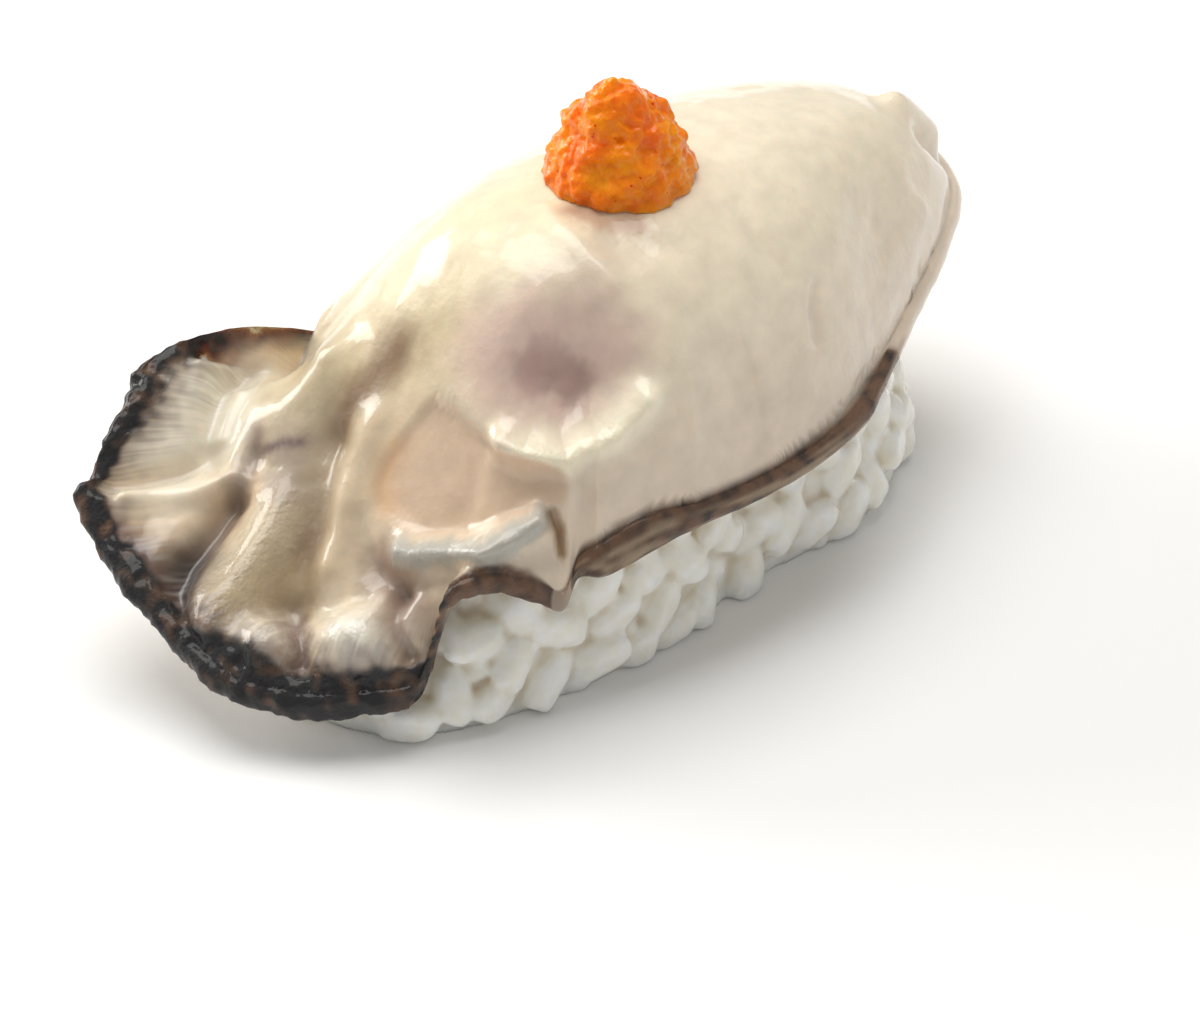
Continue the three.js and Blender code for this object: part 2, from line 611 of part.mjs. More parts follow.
const unitGrain = new THREE.SphereGeometry(1, ...GRAIN_SIDES).rotateZ(Math.PI / 2);
const grainProbe = new THREE.SphereGeometry(1, ...PROBE_SIDES).attributes.position;

function grainIsClear(placing) {
  const probe = new THREE.Vector3();
  for (let i = 0; i < grainProbe.count; i += 1) {
    if (!isClear(probe.fromBufferAttribute(grainProbe, i).applyMatrix4(placing), GRAIN_ROOM)) return false;
  }
  return true;
}

// A point of the core's side at a height, in the direction of an angle, and the way out of the core there
function coreSide(angle, height) {
  const [cos, sin] = [Math.cos(angle), Math.sin(angle)];
  const away = lastThat((d) => riceTop(d * cos, d * sin) > height, 0, coreReach(angle));
  const at = new THREE.Vector3(away * cos, away * sin, height);
  const e = 0.1;
  const out = new THREE.Vector3(
    riceTop(at.x - e, at.y) - riceTop(at.x + e, at.y),
    riceTop(at.x, at.y - e) - riceTop(at.x, at.y + e),
    2 * e,
  ).normalize();
  return { at, out };
}

// Grains in rows round the core; a grain that would cross the oyster is moved down, or else skipped
function placeGrains() {
  raiseRoof();
  const draw = makeDraw(GRAIN_SEED);
  const placings = [];
  const count = Math.round(RICE_ROUND / GRAIN_SPACING);
  for (const rowHeight of GRAIN_ROWS) {
    const phase = draw();
    for (let i = 0; i < count; i += 1) {
      const angle = angleAlong((i + phase + GRAIN_SHIFT * (draw() - 0.5)) / count);
      const spin = draw() * Math.PI;
      const tilt = (draw() - 0.5) * GRAIN_TILT;
      const size = mix(...GRAIN_SIZES, draw());
      const jitter = (draw() - 0.5) * GRAIN_JITTER;
      for (const drop of GRAIN_DROPS) {
        const { at, out } = coreSide(angle, Math.max(GRAIN_LOWEST, rowHeight + jitter - drop));
        const along = new THREE.Vector3(-out.y, out.x, 0).normalize();
        const up = new THREE.Vector3().crossVectors(out, along);
        const axes = new THREE.Matrix4().makeBasis(along, up, out);
        const lean = new THREE.Matrix4().makeRotationY(tilt);
        const swing = new THREE.Matrix4().makeRotationZ(spin).multiply(lean);
        const placing = new THREE.Matrix4().makeTranslation(at.clone().addScaledVector(out, -GRAIN_SINK))
          .multiply(axes).multiply(swing).scale(new THREE.Vector3(...GRAIN).multiplyScalar(size));
        if (grainIsClear(placing)) {
          placings.push(placing);
          break;
        }
      }
    }
  }
  return placings;
}

function makeRice() {
  let rice = toSolid(makeCore());
  for (const placing of placeGrains()) {
    rice = rice.add(toSolid(unitGrain.clone().applyMatrix4(placing)));
  }
  const table = new THREE.BoxGeometry(TABLE_SIDE, TABLE_SIDE, TABLE_SIDE).translate(0, 0, -TABLE_SIDE / 2);
  return fromSolid(outerSkin(rice.subtract(toSolid(table))));
}

// ---- Topping ----

const lumpDraw = makeDraw(TOPPING_SEED);
const lumps = Array.from({ length: LUMPS.count }, () => ({
  turn: lumpDraw() * 2 * Math.PI,
  rise: lumpDraw() ** LUMPS.crowd,
  size: mix(...LUMPS.sizes, lumpDraw()),
  height: mix(...LUMPS.heights, lumpDraw()),
}));

// Lumps over the cone, by the direction round it and the share of the way up
function toppingLump(turn, rise) {
  let height = 0;
  for (const lump of lumps) {
    const apart = Math.atan2(Math.sin(turn - lump.turn), Math.cos(turn - lump.turn));
    const across = apart * (1 - LUMPS.narrowing * rise);
    const away = Math.hypot(across, LUMPS.upright * (rise - lump.rise)) / lump.size;
    height += lump.height * Math.exp(-away * away);
  }
  return clamp(height, LUMPS.least, LUMPS.most);
}

function makeTopping() {
  const skinUnder = (x, y) => {
    const plain = new THREE.Vector3(x, y, bodyHeight(x, y));
    return plain.z + relief(plain) + TOPPING_GAP;
  };
  const tipHeight = bodyHeight(...TOPPING_AT) + TOPPING_HEIGHT;
  const turns = Array.from({ length: TOPPING_ROUND }, (_, i) => (2 * Math.PI * i) / TOPPING_ROUND);
  const ring = (radiusAt, rise) => turns.map((turn) => {
    const radius = radiusAt(turn);
    const x = TOPPING_AT[0] + radius * Math.cos(turn) + TOPPING_LEAN[0] * rise ** TOPPING_LEAN_POWER;
    const y = TOPPING_AT[1] + radius * Math.sin(turn) + TOPPING_LEAN[1] * rise ** TOPPING_LEAN_POWER;
    return new THREE.Vector3(x, y, mix(skinUnder(x, y), tipHeight, rise));
  });
  const rings = [];
  for (let k = TOPPING_RINGS - 1; k >= 1; k -= 1) {
    const rise = k / TOPPING_RINGS;
    const share = (1 - rise ** TOPPING_TAPER[0]) ** TOPPING_TAPER[1];
    rings.push(ring((turn) => TOPPING_RADIUS * share + toppingLump(turn, rise), rise));
  }
  for (const share of TOPPING_FOOT) {
    rings.push(ring(() => TOPPING_RADIUS * share - TOPPING_FOOT_INSET, 0));
  }
  const tip = new THREE.Vector3(
    TOPPING_AT[0] + TOPPING_LEAN[0],
    TOPPING_AT[1] + TOPPING_LEAN[1],
    tipHeight,
  );
  const foot = new THREE.Vector3(TOPPING_AT[0], TOPPING_AT[1], skinUnder(...TOPPING_AT));
  return ringSkin(tip, rings, foot);
}

// ---- The part ----

function piece(name, geometry, colour, roughness) {
  const material = new THREE.MeshStandardMaterial({ color: colour, roughness, metalness: 0 });
  const mesh = new THREE.Mesh(geometry, material);
  mesh.name = name;
  return mesh;
}

const nigiri = new THREE.Group();
nigiri.add(piece('rice', makeRice(), '#e9e4d6', 0.45));
nigiri.add(piece('oyster', makeOyster(), '#e6d9c2', 0.25));
nigiri.add(piece('chilli_radish', makeTopping(), '#f0761c', 0.35));

export default nigiri;
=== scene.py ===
"""Oyster nigiri: a wet raw oyster over pressed rice, with a dab of grated chilli radish.

Lengths are millimetres in the part's own frame until a mesh is made, and metres from there on.
"""
import math
from functools import lru_cache

import bpy
import numpy as np
from mathutils import Matrix, Vector


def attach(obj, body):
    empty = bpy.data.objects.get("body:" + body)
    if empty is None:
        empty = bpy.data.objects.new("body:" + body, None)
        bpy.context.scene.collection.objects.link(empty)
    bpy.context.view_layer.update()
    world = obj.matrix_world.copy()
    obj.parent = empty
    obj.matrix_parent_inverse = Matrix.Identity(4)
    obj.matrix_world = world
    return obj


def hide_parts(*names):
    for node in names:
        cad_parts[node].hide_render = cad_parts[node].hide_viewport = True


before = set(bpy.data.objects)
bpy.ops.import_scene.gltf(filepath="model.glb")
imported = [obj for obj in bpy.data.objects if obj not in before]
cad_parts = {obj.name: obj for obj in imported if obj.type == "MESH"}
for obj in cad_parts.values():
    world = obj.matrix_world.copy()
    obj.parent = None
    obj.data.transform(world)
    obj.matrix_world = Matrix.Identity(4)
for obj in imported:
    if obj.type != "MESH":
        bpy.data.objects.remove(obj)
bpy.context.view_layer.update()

MM = 0.001

# ---- Rice: bare core and grains ----

RICE_REACH_RIGHT = 33.0
RICE_REACH_LEFT = 31.0
RICE_REACH_SIDE = 16.0
RICE_DENT = (1.2, 9.0, 8.0)       # depth, x and reach of a shallow dent along the front
RICE_HEIGHT = 19.5
RICE_END_SINK = 9.0
RICE_SINK_SPAN = (-10, -27)       # x where the top sinks towards the left end
RICE_PLAN_POWER = (2.8, 3.2)      # how square the outline is at the left and at the right
RICE_SQUARE_SPAN = (0, 20)        # x where it turns from one to the other
RICE_EDGE_POWER = 3.0
RICE_SIDE_POWER = 0.38
CORE_SHRINK = 0.45                # the core seen between the grains lies this far inside
CORE_ROUND = 120
CORE_RINGS = (0.2, 0.4, 0.6, 0.75, 0.86, 0.93, 0.97, 0.99, 1.0)
RICE_VOXEL = 0.3                  # cells in which core and grains are joined into one soft skin
RICE_EASE = (0.5, 3)              # how strongly and how often that skin is evened
GAP_STEPS = 14                    # the gaps are measured from a skin evened this often
GRAIN = (2.85, 1.8, 1.65)         # half length, half width, half thickness
GRAIN_ROUND = 18
GRAIN_LONG = 12
GRAIN_BLUNT = 0.62                # how blunt the ends are
GRAIN_NOTCH = (0.22, 0.72, 0.25)  # depth, place and reach of the notch where the germ was
GRAIN_FLAT = 0.12
GRAIN_BEND = 0.24
GRAIN_LUMPS = (0.16, 1.5, 11)     # amount, size and seed
GRAIN_FOOT = (0.02, 0.05)         # least height of an underside, and how much it varies
GRAIN_ROOM = 0.25                 # between a grain and the oyster
GRAIN_HEIGHTS = (0.9, 15.5)       # lowest middle on the core's side, and the span above it
GRAIN_LEAST = (0, -0.45, 0.9)     # least spin, tilt and size
GRAIN_SPANS = (math.pi, 0.9, 0.2)
GRAIN_LAYERS = (                  # how deep the middles lie, least distance apart, tries
    (1.7, 3.0, 2600),
    (0.45, 3.15, 3200),
)
GRAIN_SEED = 4711
ROOF_CELL = 0.4                   # plan grid that holds the lowest oyster over each place
ROOF_CELLS = 240
ROOF_ROUND = 2400
ROOF_RINGS = 160

# ---- Oyster: the same form as the solid, on a finer grid ----

POLE = np.array([3.4, -2.5])      # the skin's rings close here
POLE_INWARD = 30.0                # far inside the rim
REACH_RIGHT = 41.7
REACH_LEFT = 42.0
REACH_FRONT = 17.5
REACH_BACK = 20.2
BACK_WAIST = 2.0                  # how much shorter the reach is beside the frill
FRONT_WAIST = 2.4
WAIST_SPAN = (2, -14)             # x over which the waist sets in
FRONT_TAPER = 0.36                # how fast the front draws in towards the belly end
FRONT_TAPER_FROM = 12.0
FRONT_TAPER_ROUND = 4.0
BODY_POWER = 2.6
FALL_POWER = (2.5, 1.8)           # how the height falls towards the rim, over the belly and over the frill
FALL_EASE = (0.58, 1)
BELLY_LOW = 14.5
BELLY_RISE = 0.08                 # for each millimetre towards the belly end
FRILL_PLANE = (26.3, 0.6, 0.4)    # height over the origin, and the rise along x and y
FRILL_SPAN = (-30, -8)            # x from the thin frill to the plump belly
UNDER_FRILL_SPAN = (-27, -20)     # the same on the underside
SEAT_LOW = 15.3
SEAT_GAP = 0.6
SEAT_ROUND = 1.4
SKIN_LEAST = 1.3
FRILL_THICKNESS = 2.3
EDGE_BLEND = 5.0
EDGE_GRIP = 2.0                   # this near the rim the skin follows each bend of it
EDGE_POWER = 1.5
RELIEF_STOP = 1.6                 # this near the rim the relief dies out
NORMAL_STEP = 0.8                 # the relief stands square to the skin evened over this
NORMAL_INWARD = 0.03              # and taken this share of the way to the pole
RIM_EASE = 1.6                    # rim points over which the rim is evened out for the skin inside it
RIM_HOLD = 4                      # how late a line over the skin turns from the evened rim to the true one
CROWN = np.array([                # x, height of the ridge
    (-42, 11), (-34, 12), (-28, 13.6), (-23, 16.8), (-18, 24.4), (-13, 31.3), (-8, 34.7),
    (-2, 36), (5, 36.2), (18, 35.8), (26, 35.7), (34, 36.1), (46, 36.6),
])

RIM = np.array([                  # x, y, z of the lip's middle, its half height and half thickness
    # belly end and the back
    (42.8, 0.5, 20, 1.2, 1.2), (41.4, 6.2, 19, 1.2, 1.2), (38, 11.5, 18, 1.1, 1.1), (29, 15.5, 16, 1.1, 1),
    (20, 18, 15, 1.3, 0.9), (10, 19.3, 14.5, 1.3, 0.9), (0, 17.6, 15, 1.3, 0.9), (-6.6, 15.6, 16.8, 1.1, 0.9),
    # back corner of the frill
    (-11.4, 14.8, 18.9, 1, 0.9), (-15.2, 15.9, 20.6, 1, 0.9), (-18.9, 18.3, 21.2, 1, 0.9),
    (-22.9, 20.5, 20.6, 1, 1), (-26.5, 21, 20, 1, 1), (-29.5, 19.6, 18.6, 1, 1), (-32.5, 18.6, 16.4, 1, 1),
    (-34.4, 17.6, 14.2, 1, 1),
    # pointed tip and the long side of the frill
    (-36.6, 17.2, 14.6, 1, 0.9), (-37.6, 13.6, 11.8, 1, 0.9), (-37.9, 9.6, 9.9, 1, 0.9),
    (-38, 5, 7.6, 1.1, 0.9), (-37.8, 1, 6.4, 1.2, 1), (-36.8, -2.8, 5.6, 1.2, 1), (-34.1, -6.6, 5, 1.2, 1),
    (-31, -9.4, 5, 1.2, 1),
    # edge that hangs down beside the rice
    (-27.2, -11.6, 5.4, 1, 0.9), (-25.2, -11.6, 8, 0.9, 0.9), (-25, -12.2, 11, 0.9, 0.9),
    (-24.4, -12.9, 14, 0.9, 0.9),
    # tongue below the muscle
    (-21.6, -14.2, 14.6, 0.9, 0.8), (-18, -15.9, 12.8, 0.9, 0.8), (-15.8, -16.8, 11.4, 0.9, 0.8),
    (-13.7, -16.4, 13.4, 1, 0.8),
    # mantle strip along the front of the belly
    (-12.2, -17.3, 13.8, 1.6, 0.8), (-10.4, -17.8, 14.2, 1.9, 0.8), (-7, -18.6, 14.9, 1.7, 0.8),
    (-3, -19.3, 14.9, 1.1, 0.8), (3.2, -19.7, 14.6, 1, 0.8), (9.2, -20, 15, 1.1, 0.8),
    (15, -19.2, 15.6, 1, 0.9), (20.8, -16.6, 16.3, 0.9, 0.9), (26.6, -13.6, 17.3, 1, 1),
    (32.4, -10.9, 18.4, 1.1, 1.1), (39.4, -6.4, 20, 1.2, 1.2),
])

# Relief along a route over the skin: half width, height (minus is a groove), route in plan
HEART_RIDGE = [(-16.4, -4.4), (-16.2, -8), (-16.3, -10.6), (-15.8, -12.3), (-14.5, -13.4), (-13.1, -14.4),
               (-10.9, -15.1), (-9.5, -15.9), (-7.8, -16.2), (-6.3, -16.3)]
CRESCENT = [(-23.3, -6.2), (-23, -7.4), (-22.2, -8.6), (-21.3, -10.5), (-20.8, -13.5), (-18.5, -14.3),
            (-16.5, -14.7)]
INNER_VALLEY = [(-15.5, 2.3), (-18.6, 4.9), (-20.8, 5.2), (-23.3, 4.6), (-25.8, 2.1), (-28.2, 1.1),
                (-30.5, 0.2)]
INNER_RIDGE = [(-17.1, -2.1), (-19.2, 1.6), (-21.1, 1.6), (-23.8, 0.4), (-26.7, -0.8)]
WET_RIDGE = [(-16.8, 8.9), (-20.3, 9.5), (-22.7, 5.7), (-26.1, 5), (-30.3, 4.2), (-34.1, 3.8), (-36, 3.2)]
DEEP_VALLEY = [(-22.9, 11.2), (-24.4, 10.2), (-27.4, 9.5), (-30, 9), (-33.7, 8.5), (-36, 7.4), (-38.8, 4.9)]
FOLD_EDGE = [(-26.6, 9.9), (-28.2, 11.3), (-30.2, 12.7), (-32.8, 14.4), (-35.8, 15.8)]
WATER_LINE = [(-21.3, 19.2), (-19.7, 18), (-19.6, 17.1), (-21.5, 16.3), (-24, 14.9), (-25.8, 13.8),
              (-27.5, 13.3), (-29.2, 13.9), (-31.8, 15.2), (-34.8, 16.5)]
LOBE_VALLEY = [(-31.4, -1.7), (-32.2, -3.3), (-33.4, -4.6)]
HANGING_FOLD = [(-25.3, -7.7), (-26.4, -8.4), (-26.9, -9.4), (-26.9, -10.6)]
CREVICE = [(-15.4, -15.1), (-15, -15.8), (-15.2, -16.3)]
TONGUE_GROOVE = [(-23.3, -0.8), (-24.7, -3.1), (-25.2, -5.7), (-25, -7.8), (-22.9, -12), (-21.4, -14.2)]
DARK_LINE = [(-23.3, 9.6), (-22.4, 8.6), (-21.4, 6.8)]
SLOPE_LIQUOR = [(-21.6, 15.6), (-23.2, 14.8), (-25.2, 13.9)]
FOLD_LIQUOR = [(-34, 15.4), (-31.8, 14.7), (-29.6, 13.5), (-28, 12.8)]
TOP_LIQUOR = [(-22.6, 18.6), (-20.9, 18.1), (-19.8, 17.4)]
FOLDS = {
    "liquor below the slope": (0.9, 1.2, SLOPE_LIQUOR),
    "liquor along the fold": (0.8, 1.1, FOLD_LIQUOR),
    "liquor in the far corner": (0.8, 0.9, TOP_LIQUOR),
    "water line of the pocket": (1.5, -1.8, WATER_LINE),
    "edge of the fold": (1.1, 1.1, FOLD_EDGE),
    "bank of the pocket": (2.5, 1.0, [(-19.6, 13.9), (-20.9, 12.6), (-23.6, 11), (-25.6, 10.2)]),
    "deep valley": (1.2, -1.9, DEEP_VALLEY[2:]),
    "head of the deep valley": (1.0, -0.7, DEEP_VALLEY[1:3]),
    "wet ridge": (2.5, 1.6, WET_RIDGE),
    "inner valley": (1.9, -1.3, INNER_VALLEY[2:]),
    "inner ridge": (1.7, 0.8, INNER_RIDGE[1:]),
    "white crescent": (1.15, 1.7, CRESCENT),
    "groove above the tongue": (0.9, -0.6, TONGUE_GROOVE),
    "brown crevice": (0.6, -1.1, CREVICE),
    "ridge round the heart": (1.3, 1.5, HEART_RIDGE[2:]),
    "hollow behind the lobes": (1.2, -0.9, [(-31, -0.4), (-29.8, -1.2), (-29.2, -3), (-27.2, -5.4)]),
    "valley between the lobes": (1.1, -1.6, LOBE_VALLEY),
    "fold of the hanging edge": (0.9, -1.2, HANGING_FOLD),
    "ridge below the topping": (1.2, 0.5, [(-3.4, -1.7), (-4.3, -4.5), (-4.3, -7.4), (-4.3, -10.5)]),
    "furrow of the belly": (1.0, -0.35, [(10.1, -10), (9.9, -12.5), (10.4, -15.2)]),
    "crease of the belly": (0.8, -0.5, [(13.7, -15.9), (12.5, -16.9), (12.1, -17.7)]),
    "far roll of the end": (1.5, 1.5, [(36, -2.6), (41, -3)]),
    "notch of the end": (0.9, -1.6, [(36.6, -5.4), (41.6, -4.6)]),
    "near roll of the end": (1.9, 1.5, [(39.4, -7.4), (35.8, -9.6)]),
}

# Swellings and hollows: middle in plan, radius, height, power of the fall
HEART = (-10.6, -12.6)
LARGE_LOBE = (-28.8, -7.1)
SMALL_LOBE = (-33.8, -1.6)
SWELLINGS = {
    "hollow over the heart": (HEART, 5.0, -3.6, 2.6),
    "large lobe": (LARGE_LOBE, 3.2, 2.5, 2.4),
    "small lobe": (SMALL_LOBE, 2.3, 1.9, 2.4),
    "hollow below the topping": ((-0.5, -9), 3.4, -0.6, 2),
    "shoulder": ((-9.3, 3), 5.5, 0.6, 2),
    "hollow of the belly end": ((24.6, -12), 6, -0.9, 2),
    "hollow above the lobes": ((-25.6, -5), 3, -0.9, 2),
}

MUSCLE_MIDDLE = (-18.3, -8.3)
MUSCLE_FACING = (-0.8, -0.28, 0.53)
MUSCLE_REACH = 7.0                # the face's outline acts this far in front of and behind its plane
MUSCLE_OUTLINE = [                # across and up, square to the face
    (-4.6, 4.8), (-6.4, 1.9), (-7.7, -1), (-8.2, -3.4), (-7.7, -4.5), (-6.1, -5.4), (-4, -5.9), (-1.6, -6),
    (1.6, -5), (4.5, -3), (6.5, -1.9), (7.9, -0.8), (8.1, 0.4), (7.9, 1.5), (6.9, 2.1), (5.2, 2.3),
    (2.5, 2.4), (0.8, 2.9), (-0.7, 3.6), (-2.5, 4.5),
]
MUSCLE_FLATTEN = 0.45             # how much of the body's curve the flat face takes away
MUSCLE_BULGE = 2.5                # and the most of it, in millimetres
MUSCLE_SINK = 0.9
FACE_EDGE = (-0.5, 0.7)           # depth in the outline over which the cut face sets in

SAG_BREADTH = 2.2                 # how much wider the underside sags than a groove above it
SAG_ROUND = 1.2                   # and than a round hollow
SAG_DEPTH = 1.15                  # and how much deeper than either
SAG_MUSCLE = 0.9
SAG_MUSCLE_EDGE = (-2.0, 0.0)

OYSTER_ROUND = 740
OYSTER_TOP_RINGS = 110
OYSTER_TOP_CROWD = 1.6            # how much closer the rings lie towards the rim
OYSTER_LIP_STEPS = 11
OYSTER_UNDER_RINGS = 13
OYSTER_UNDER_CROWD = 1.15
PLAIN_ROUND = 900
PLAIN_RINGS = 220

# Uneven forms as noise: amount in millimetres, size in millimetres, seed
RAGGED = ((0.45, 3.1, 1), (0.22, 1.2, 2))
RAGGED_LEAST = 0.1                # share of it that is left along the belly
RAGGED_REACH = 1.5
WARTS = ((0.20, 1.5, 31), (0.16, 0.75, 32))
SOFT_LUMPS = ((0.13, 4.5, 33), (0.05, 1.7, 34))

# ---- Topping ----

TOPPING_AT = np.array([5.0, -1.8])
TOPPING_RADIUS = 6.2
TOPPING_HEIGHT = 9.3
TOPPING_LEAN = np.array([-1.3, -0.8])
TOPPING_LEAN_POWER = 1.5
TOPPING_PROFILE = (1.45, 0.82)    # how it narrows towards the tip
TOPPING_GAP = 0.1
TOPPING_LUMPS = ((0.6, 2.6, 21), (0.4, 1.3, 22), (0.22, 0.65, 23))
TOPPING_HEART = 2.5               # height above the skin of the point that the lumps stand out from
TOPPING_ROUND = 220
TOPPING_STEPS = 110


# ---- Small maths ----

def mix(a, b, share):
    return a + (b - a) * share


def smooth(start, end, value):
    u = np.clip((value - start) / (end - start), 0.0, 1.0)
    return u * u * (3 - 2 * u)


def soft_max(a, b, width):
    """The larger of two heights, with the corner between them rounded."""
    return (a + b + np.hypot(a - b, width)) / 2


def draws(seed):
    """Endless random draws between 0 and 1, the same on every run."""
    state = seed
    while True:
        state = state * 16807 % 2147483647
        yield state / 2147483647


def noise(points, size, seed=0):
    """Smooth lattice noise of points in millimetres, about -1 to 1, with lumps of that size."""
    scaled = np.asarray(points, float) / size + 37.7
    cell = np.floor(scaled).astype(np.int64)
    part = scaled - cell
    ease = part * part * part * (part * (part * 6 - 15) + 10)
    total = np.zeros(scaled.shape[:-1])
    for corner in np.ndindex(2, 2, 2):
        at = cell + corner
        key = (at[..., 0] * 73856093) ^ (at[..., 1] * 19349663) ^ (at[..., 2] * 83492791)
        key ^= seed * 7919 + 12345
        key = (key ^ (key >> 13)) * 1274126177 & 0x7FFFFFFF
        key = (key ^ (key >> 15)) * 668265263 & 0x7FFFFFFF
        turn = (key & 1023) / 1023 * 2 * math.pi
        rise = ((key >> 10) & 1023) / 1023 * 2 - 1
        flat = np.sqrt(1 - rise * rise)
        slope = np.stack([flat * np.cos(turn), flat * np.sin(turn), rise], -1)
        weight = np.prod(np.where(corner, ease, 1 - ease), -1)
        total += weight * np.sum(slope * (part - corner), -1)
    return total * 1.7


def layers(points, *parts):
    """Noise of several sizes added up, each with its amount, size and seed."""
    return sum(amount * noise(points, size, seed) for amount, size, seed in parts)


def station_curve(stations, x):
    """Smooth height along uneven stations."""
    at, height = stations[:, 0], stations[:, 1]
    slope = np.zeros(len(at))
    slope[1:-1] = (height[2:] - height[:-2]) / (at[2:] - at[:-2])
    i = np.clip(np.searchsorted(at, x) - 1, 0, len(at) - 2)
    span = at[i + 1] - at[i]
    u = np.clip((x - at[i]) / span, 0, 1)
    return ((2 * u**3 - 3 * u**2 + 1) * height[i] + (u**3 - 2 * u**2 + u) * span * slope[i]
            + (3 * u**2 - 2 * u**3) * height[i + 1] + (u**3 - u**2) * span * slope[i + 1])


# ---- Rice core ----

def rice_reach(x):
    return np.where(x > 0, RICE_REACH_RIGHT, RICE_REACH_LEFT)


def rice_share(x, y):
    """Share of the way from the core's middle to its outline, 1 on the outline."""
    depth, at, reach = RICE_DENT
    dent = depth * np.exp(-(((x - at) / reach) ** 2))
    half_width = np.where(y < 0, RICE_REACH_SIDE - dent, RICE_REACH_SIDE)
    power = mix(*RICE_PLAN_POWER, smooth(*RICE_SQUARE_SPAN, x))
    return (np.abs(x / rice_reach(x)) ** power + np.abs(y / half_width) ** power) ** (1 / power)


def last_that(passes, low, high):
    """The last values between low and high that still pass a test, by halving."""
    for _ in range(30):
        middle = (low + high) / 2
        fine = passes(middle)
        low, high = np.where(fine, middle, low), np.where(fine, high, middle)
    return low


def core_reach(angle):
    return last_that(lambda away: rice_share(away * np.cos(angle), away * np.sin(angle)) < 1,
                     np.zeros(len(angle)), np.full(len(angle), 2 * RICE_REACH_RIGHT))


def rice_top(x, y):
    height = RICE_HEIGHT - RICE_END_SINK * smooth(*RICE_SINK_SPAN, x)
    rest = np.clip(1 - rice_share(x, y) ** RICE_EDGE_POWER, 0, 1)
    return height * rest ** RICE_SIDE_POWER


def seat_top(x, y):
    grow_x = rice_reach(x) / (rice_reach(x) + SEAT_GAP)
    grow_y = RICE_REACH_SIDE / (RICE_REACH_SIDE + SEAT_GAP)
    return rice_top(x * grow_x, y * grow_y) + SEAT_GAP


# ---- Oyster form ----

def rim_at(t):
    """Lip at a share t of the way round the rim: a closed smooth curve through RIM."""
    count = len(RIM)
    s = (np.asarray(t, float) % 1.0) * count
    i = np.floor(s).astype(int) % count
    f = (s - np.floor(s))[..., None]
    p0, p1, p2, p3 = (RIM[(i + k) % count] for k in (-1, 0, 1, 2))
    return 0.5 * (2 * p1 + (p2 - p0) * f + (2 * p0 - 5 * p1 + 4 * p2 - p3) * f**2
                  + (3 * p1 - p0 - 3 * p2 + p3) * f**3)


def even_weights(t):
    """Weights of the rim points for an evened rim, which gives the skin's inner lines their even spread."""
    count = len(RIM)
    away = np.abs((np.asarray(t, float)[..., None] % 1.0) * count - np.arange(count))
    away = np.minimum(away, count - away)
    weight = np.exp(-((away / RIM_EASE) ** 2))
    return weight / weight.sum(-1, keepdims=True)


def plan_place(t, rho):
    """Place in plan from the pole (rho 0) to the rim (rho 1), how far inside the rim it is, and the lip."""
    rim = rim_at(t)
    even = even_weights(t) @ RIM[:, :2]
    share = np.asarray(rho)[..., None]
    plan = POLE + share * (even - POLE) + share**RIM_HOLD * (rim[..., :2] - even)
    return plan, np.linalg.norm(rim[..., :2] - plan, axis=-1), rim


def hold(inward, reach):
    """1 on the rim, and down to 0 within a reach of it."""
    return np.exp(-((inward / reach) ** EDGE_POWER))


def pull_to_rim(t, inward, step, steps):
    """Height that joins a skin to the lip: each bend of it close to the rim, its evened course further in."""
    grip = hold(inward, EDGE_GRIP)
    return step * grip + even_weights(t) @ steps * (hold(inward, EDGE_BLEND) - grip)


def frill_share(x):
    """0 over the plump belly, 1 over the thin frill."""
    return 1 - smooth(*FRILL_SPAN, x)


def body_height(x, y):
    """Height of the plain upper skin over the plan."""
    frill = frill_share(x)
    dx, dy = x - POLE[0], y - POLE[1]
    reach_x = np.where(dx > 0, REACH_RIGHT, REACH_LEFT)
    waist = smooth(*WAIST_SPAN, x)
    taper = FRONT_TAPER * soft_max(x - FRONT_TAPER_FROM, 0, FRONT_TAPER_ROUND)
    reach_y = np.where(dy > 0, REACH_BACK - BACK_WAIST * waist, REACH_FRONT - FRONT_WAIST * waist - taper)
    share = (np.abs(dx / reach_x) ** BODY_POWER + np.abs(dy / reach_y) ** BODY_POWER) ** (1 / BODY_POWER)
    fall = np.clip(1 - share ** mix(*FALL_POWER, frill), 0, 1) ** mix(*FALL_EASE, frill)
    belly_low = BELLY_LOW + BELLY_RISE * np.maximum(x, 0)
    frill_low = FRILL_PLANE[0] + FRILL_PLANE[1] * x + FRILL_PLANE[2] * y
    low = mix(belly_low, frill_low, frill)
    return low + (station_curve(CROWN, x) - low) * fall


def body_normal(x, y, e=0.05):
    out = np.stack([body_height(x - e, y) - body_height(x + e, y),
                    body_height(x, y - e) - body_height(x, y + e),
                    np.full(np.shape(x), 2 * e)], -1)
    return out / np.linalg.norm(out, axis=-1, keepdims=True)


def plain_skin(t, rho):
    """Points from the pole (rho 0) to the lip's upper edge (rho 1), and how far inside the rim they are."""
    plan, inward, rim = plan_place(t, rho)
    x, y = plan[..., 0], plan[..., 1]
    rx, ry, rz, lip_height = (rim[..., k] for k in range(4))
    steps = RIM[:, 2] + RIM[:, 3] - body_height(RIM[:, 0], RIM[:, 1])
    lift = pull_to_rim(t, inward, rz + lip_height - body_height(rx, ry), steps)
    return np.stack([x, y, body_height(x, y) + lift], -1), inward


def sample_skin():
    """Points all over the plain skin, to find its height over a place in plan."""
    t = np.arange(PLAIN_ROUND) / PLAIN_ROUND
    return np.concatenate([plain_skin(t, np.full(len(t), rho))[0] for rho in np.linspace(0, 1, PLAIN_RINGS)])


PLAIN = sample_skin()


